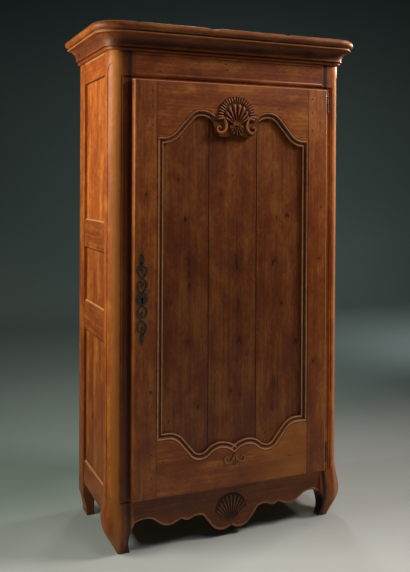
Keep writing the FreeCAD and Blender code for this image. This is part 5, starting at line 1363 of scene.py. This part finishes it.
class CUPBOARD_OT_lock_plate(bpy.types.Operator):
    """Pierced lock plate"""
    bl_idname = "cupboard.lock_plate"
    bl_label = "Lock plate"

    def execute(self, context):
        """Cut the plate: a boss with the keyhole, scrolled bars and a leaf at each end."""
        sizes = context.scene.cupboard_iron
        centre_x, centre_z = sizes.plate_inset - DOOR_HALF, sizes.plate_centre
        face = DOOR_FRONT - sizes.plate_thick
        section = [
            (across * sizes.bar_width / MM, deep * sizes.plate_thick / MM) for across, deep in BAR_SECTION]
        bm = bmesh.new()
        for controls in PLATE_SCROLLS:
            for turn in (1, -1):
                line = [
                    Vector((centre_x + turn * x * MM, centre_z + turn * z * MM))
                    for x, z in smooth_line(controls, 5)]
                skin(bm, door_rings(line, section))
        right = [Vector((x, z)) * MM for x, z in smooth_line(PLATE_LEAF, 4)]
        for rise in (1, -1):
            outline = [
                Vector((centre_x + side * point.x, centre_z + rise * point.y))
                for side, run in ((1, right), (-1, right[-2:0:-1])) for point in run]
            slab(bm, outline, face, DOOR_FRONT, 0.7 * MM)
        boss = [
            Vector((centre_x + BOSS_WIDE * math.cos(angle), centre_z + BOSS_TALL * math.sin(angle)))
            for angle in whole_turn(BOSS_STEPS)]
        disc = bmesh.new()
        slab(disc, boss, face, DOOR_FRONT, 0.9 * MM)
        iron = forged_iron("Wrought iron, pierced and filed")
        plate = piece("lock_plate_pierced", disc, "door", iron)
        hole = bmesh.new()
        slab(hole, keyhole_outline(centre_x, centre_z), DOOR_FRONT - PAST, DOOR_FRONT + PAST)
        cut_away(plate, hole)
        # Bars and leaves lap over the boss, so they join it after the keyhole is cut in the boss alone.
        bm.from_mesh(plate.data)
        bmesh.ops.recalc_face_normals(bm, faces=bm.faces)
        bm.to_mesh(plate.data)
        bm.free()
        shade_smooth(plate.data)
        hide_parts("lock_plate")
        grown("lock_plate_nails", nail_heads, {
            "Radius": ("NodeSocketFloat", sizes.nail_radius),
            "Rise": ("NodeSocketFloat", NAIL_RISE * MM),
        }, "door", iron, [(centre_x + x * MM, face, centre_z + z * MM) for x, z in NAILS])
        return {"FINISHED"}


# Half of a hinge, from the joint outwards, as (radius, height) in millimetres.
KNUCKLE = [
    (5.6, 0.3), (6.6, 1.0), (6.9, 2.2), (6.6, 3.4), (5.3, 4.2), (5.3, 24.0), (6.0, 25.0), (6.9, 26.6),
    (6.9, 28.4), (6.0, 30.0), (3.4, 31.2), (3.2, 32.2), (5.2, 33.6), (6.4, 36.0), (6.4, 38.6), (5.0, 41.2),
    (2.8, 42.6), (2.4, 43.4), (3.2, 44.6), (2.6, 46.2), (0.02, 47.0),
]
KNUCKLE_STEPS = 28
# How far under the door's leaf the two knuckles of a hinge meet.
JOINT_DROP = 0.2 * MM


class CUPBOARD_OT_hinges(bpy.types.Operator):
    """Barrel hinges"""
    bl_idname = "cupboard.hinges"
    bl_label = "Hinges"

    def execute(self, context):
        """Turn a knuckle with its finial for each leaf, on the pin's axis."""
        iron = forged_iron("Wrought iron, turned and blackened")
        swing = next(joint for joint in frame["joints"] if joint["name"] == "door_swing")
        axis_x, axis_y = swing["pos_m"][:2]
        for level in ("low", "high"):
            joint_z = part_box(f"hinge_door_leaf_{level}")[0].z - JOINT_DROP
            for leaf, body, way in (("post", "carcass", -1), ("door", "door", 1)):
                bm = bmesh.new()
                skin(bm, [
                    [Vector((axis_x + radius * MM * math.cos(angle), axis_y + radius * MM * math.sin(angle),
                             joint_z + way * rise * MM)) for angle in whole_turn(KNUCKLE_STEPS)]
                    for radius, rise in KNUCKLE])
                made = piece(f"hinge_{leaf}_knuckle_{level}", bm, body, iron)
                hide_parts(f"hinge_{leaf}_leaf_{level}")
        return {"FINISHED"}


class CUPBOARD_PT_panel(bpy.types.Panel):
    """The cupboard's pieces and sizes"""
    bl_idname = "CUPBOARD_PT_panel"
    bl_label = "Cupboard"
    bl_space_type = "VIEW_3D"
    bl_region_type = "UI"
    bl_category = "Cupboard"

    def draw(self, context):
        """List the operators, then every size and colour."""
        for operator in OPERATORS:
            self.layout.operator(operator.bl_idname)
        for group, kind in GROUPS.items():
            box = self.layout.box()
            box.label(text=kind.__doc__)
            for name in kind.__annotations__:
                box.prop(getattr(context.scene, group), name)


OPERATORS = [
    CUPBOARD_OT_carcass,
    CUPBOARD_OT_cornice,
    CUPBOARD_OT_apron,
    CUPBOARD_OT_door_frame,
    CUPBOARD_OT_shell,
    CUPBOARD_OT_lock_plate,
    CUPBOARD_OT_hinges,
    CUPBOARD_OT_stage,
]
CLASSES = [*GROUPS.values(), *OPERATORS, CUPBOARD_PT_panel]


def register():
    """Register the classes and hang the property groups on the scene."""
    for item in CLASSES:
        bpy.utils.register_class(item)
    for group, kind in GROUPS.items():
        setattr(bpy.types.Scene, group, bpy.props.PointerProperty(type=kind))


def unregister():
    """Take everything off again."""
    for group in GROUPS:
        delattr(bpy.types.Scene, group)
    for item in reversed(CLASSES):
        bpy.utils.unregister_class(item)


def main():
    """Register and make every piece in order."""
    register()
    for operator in OPERATORS:
        module, name = operator.bl_idname.split(".")
        getattr(getattr(bpy.ops, module), name)()


if __name__ == "__main__":
    main()
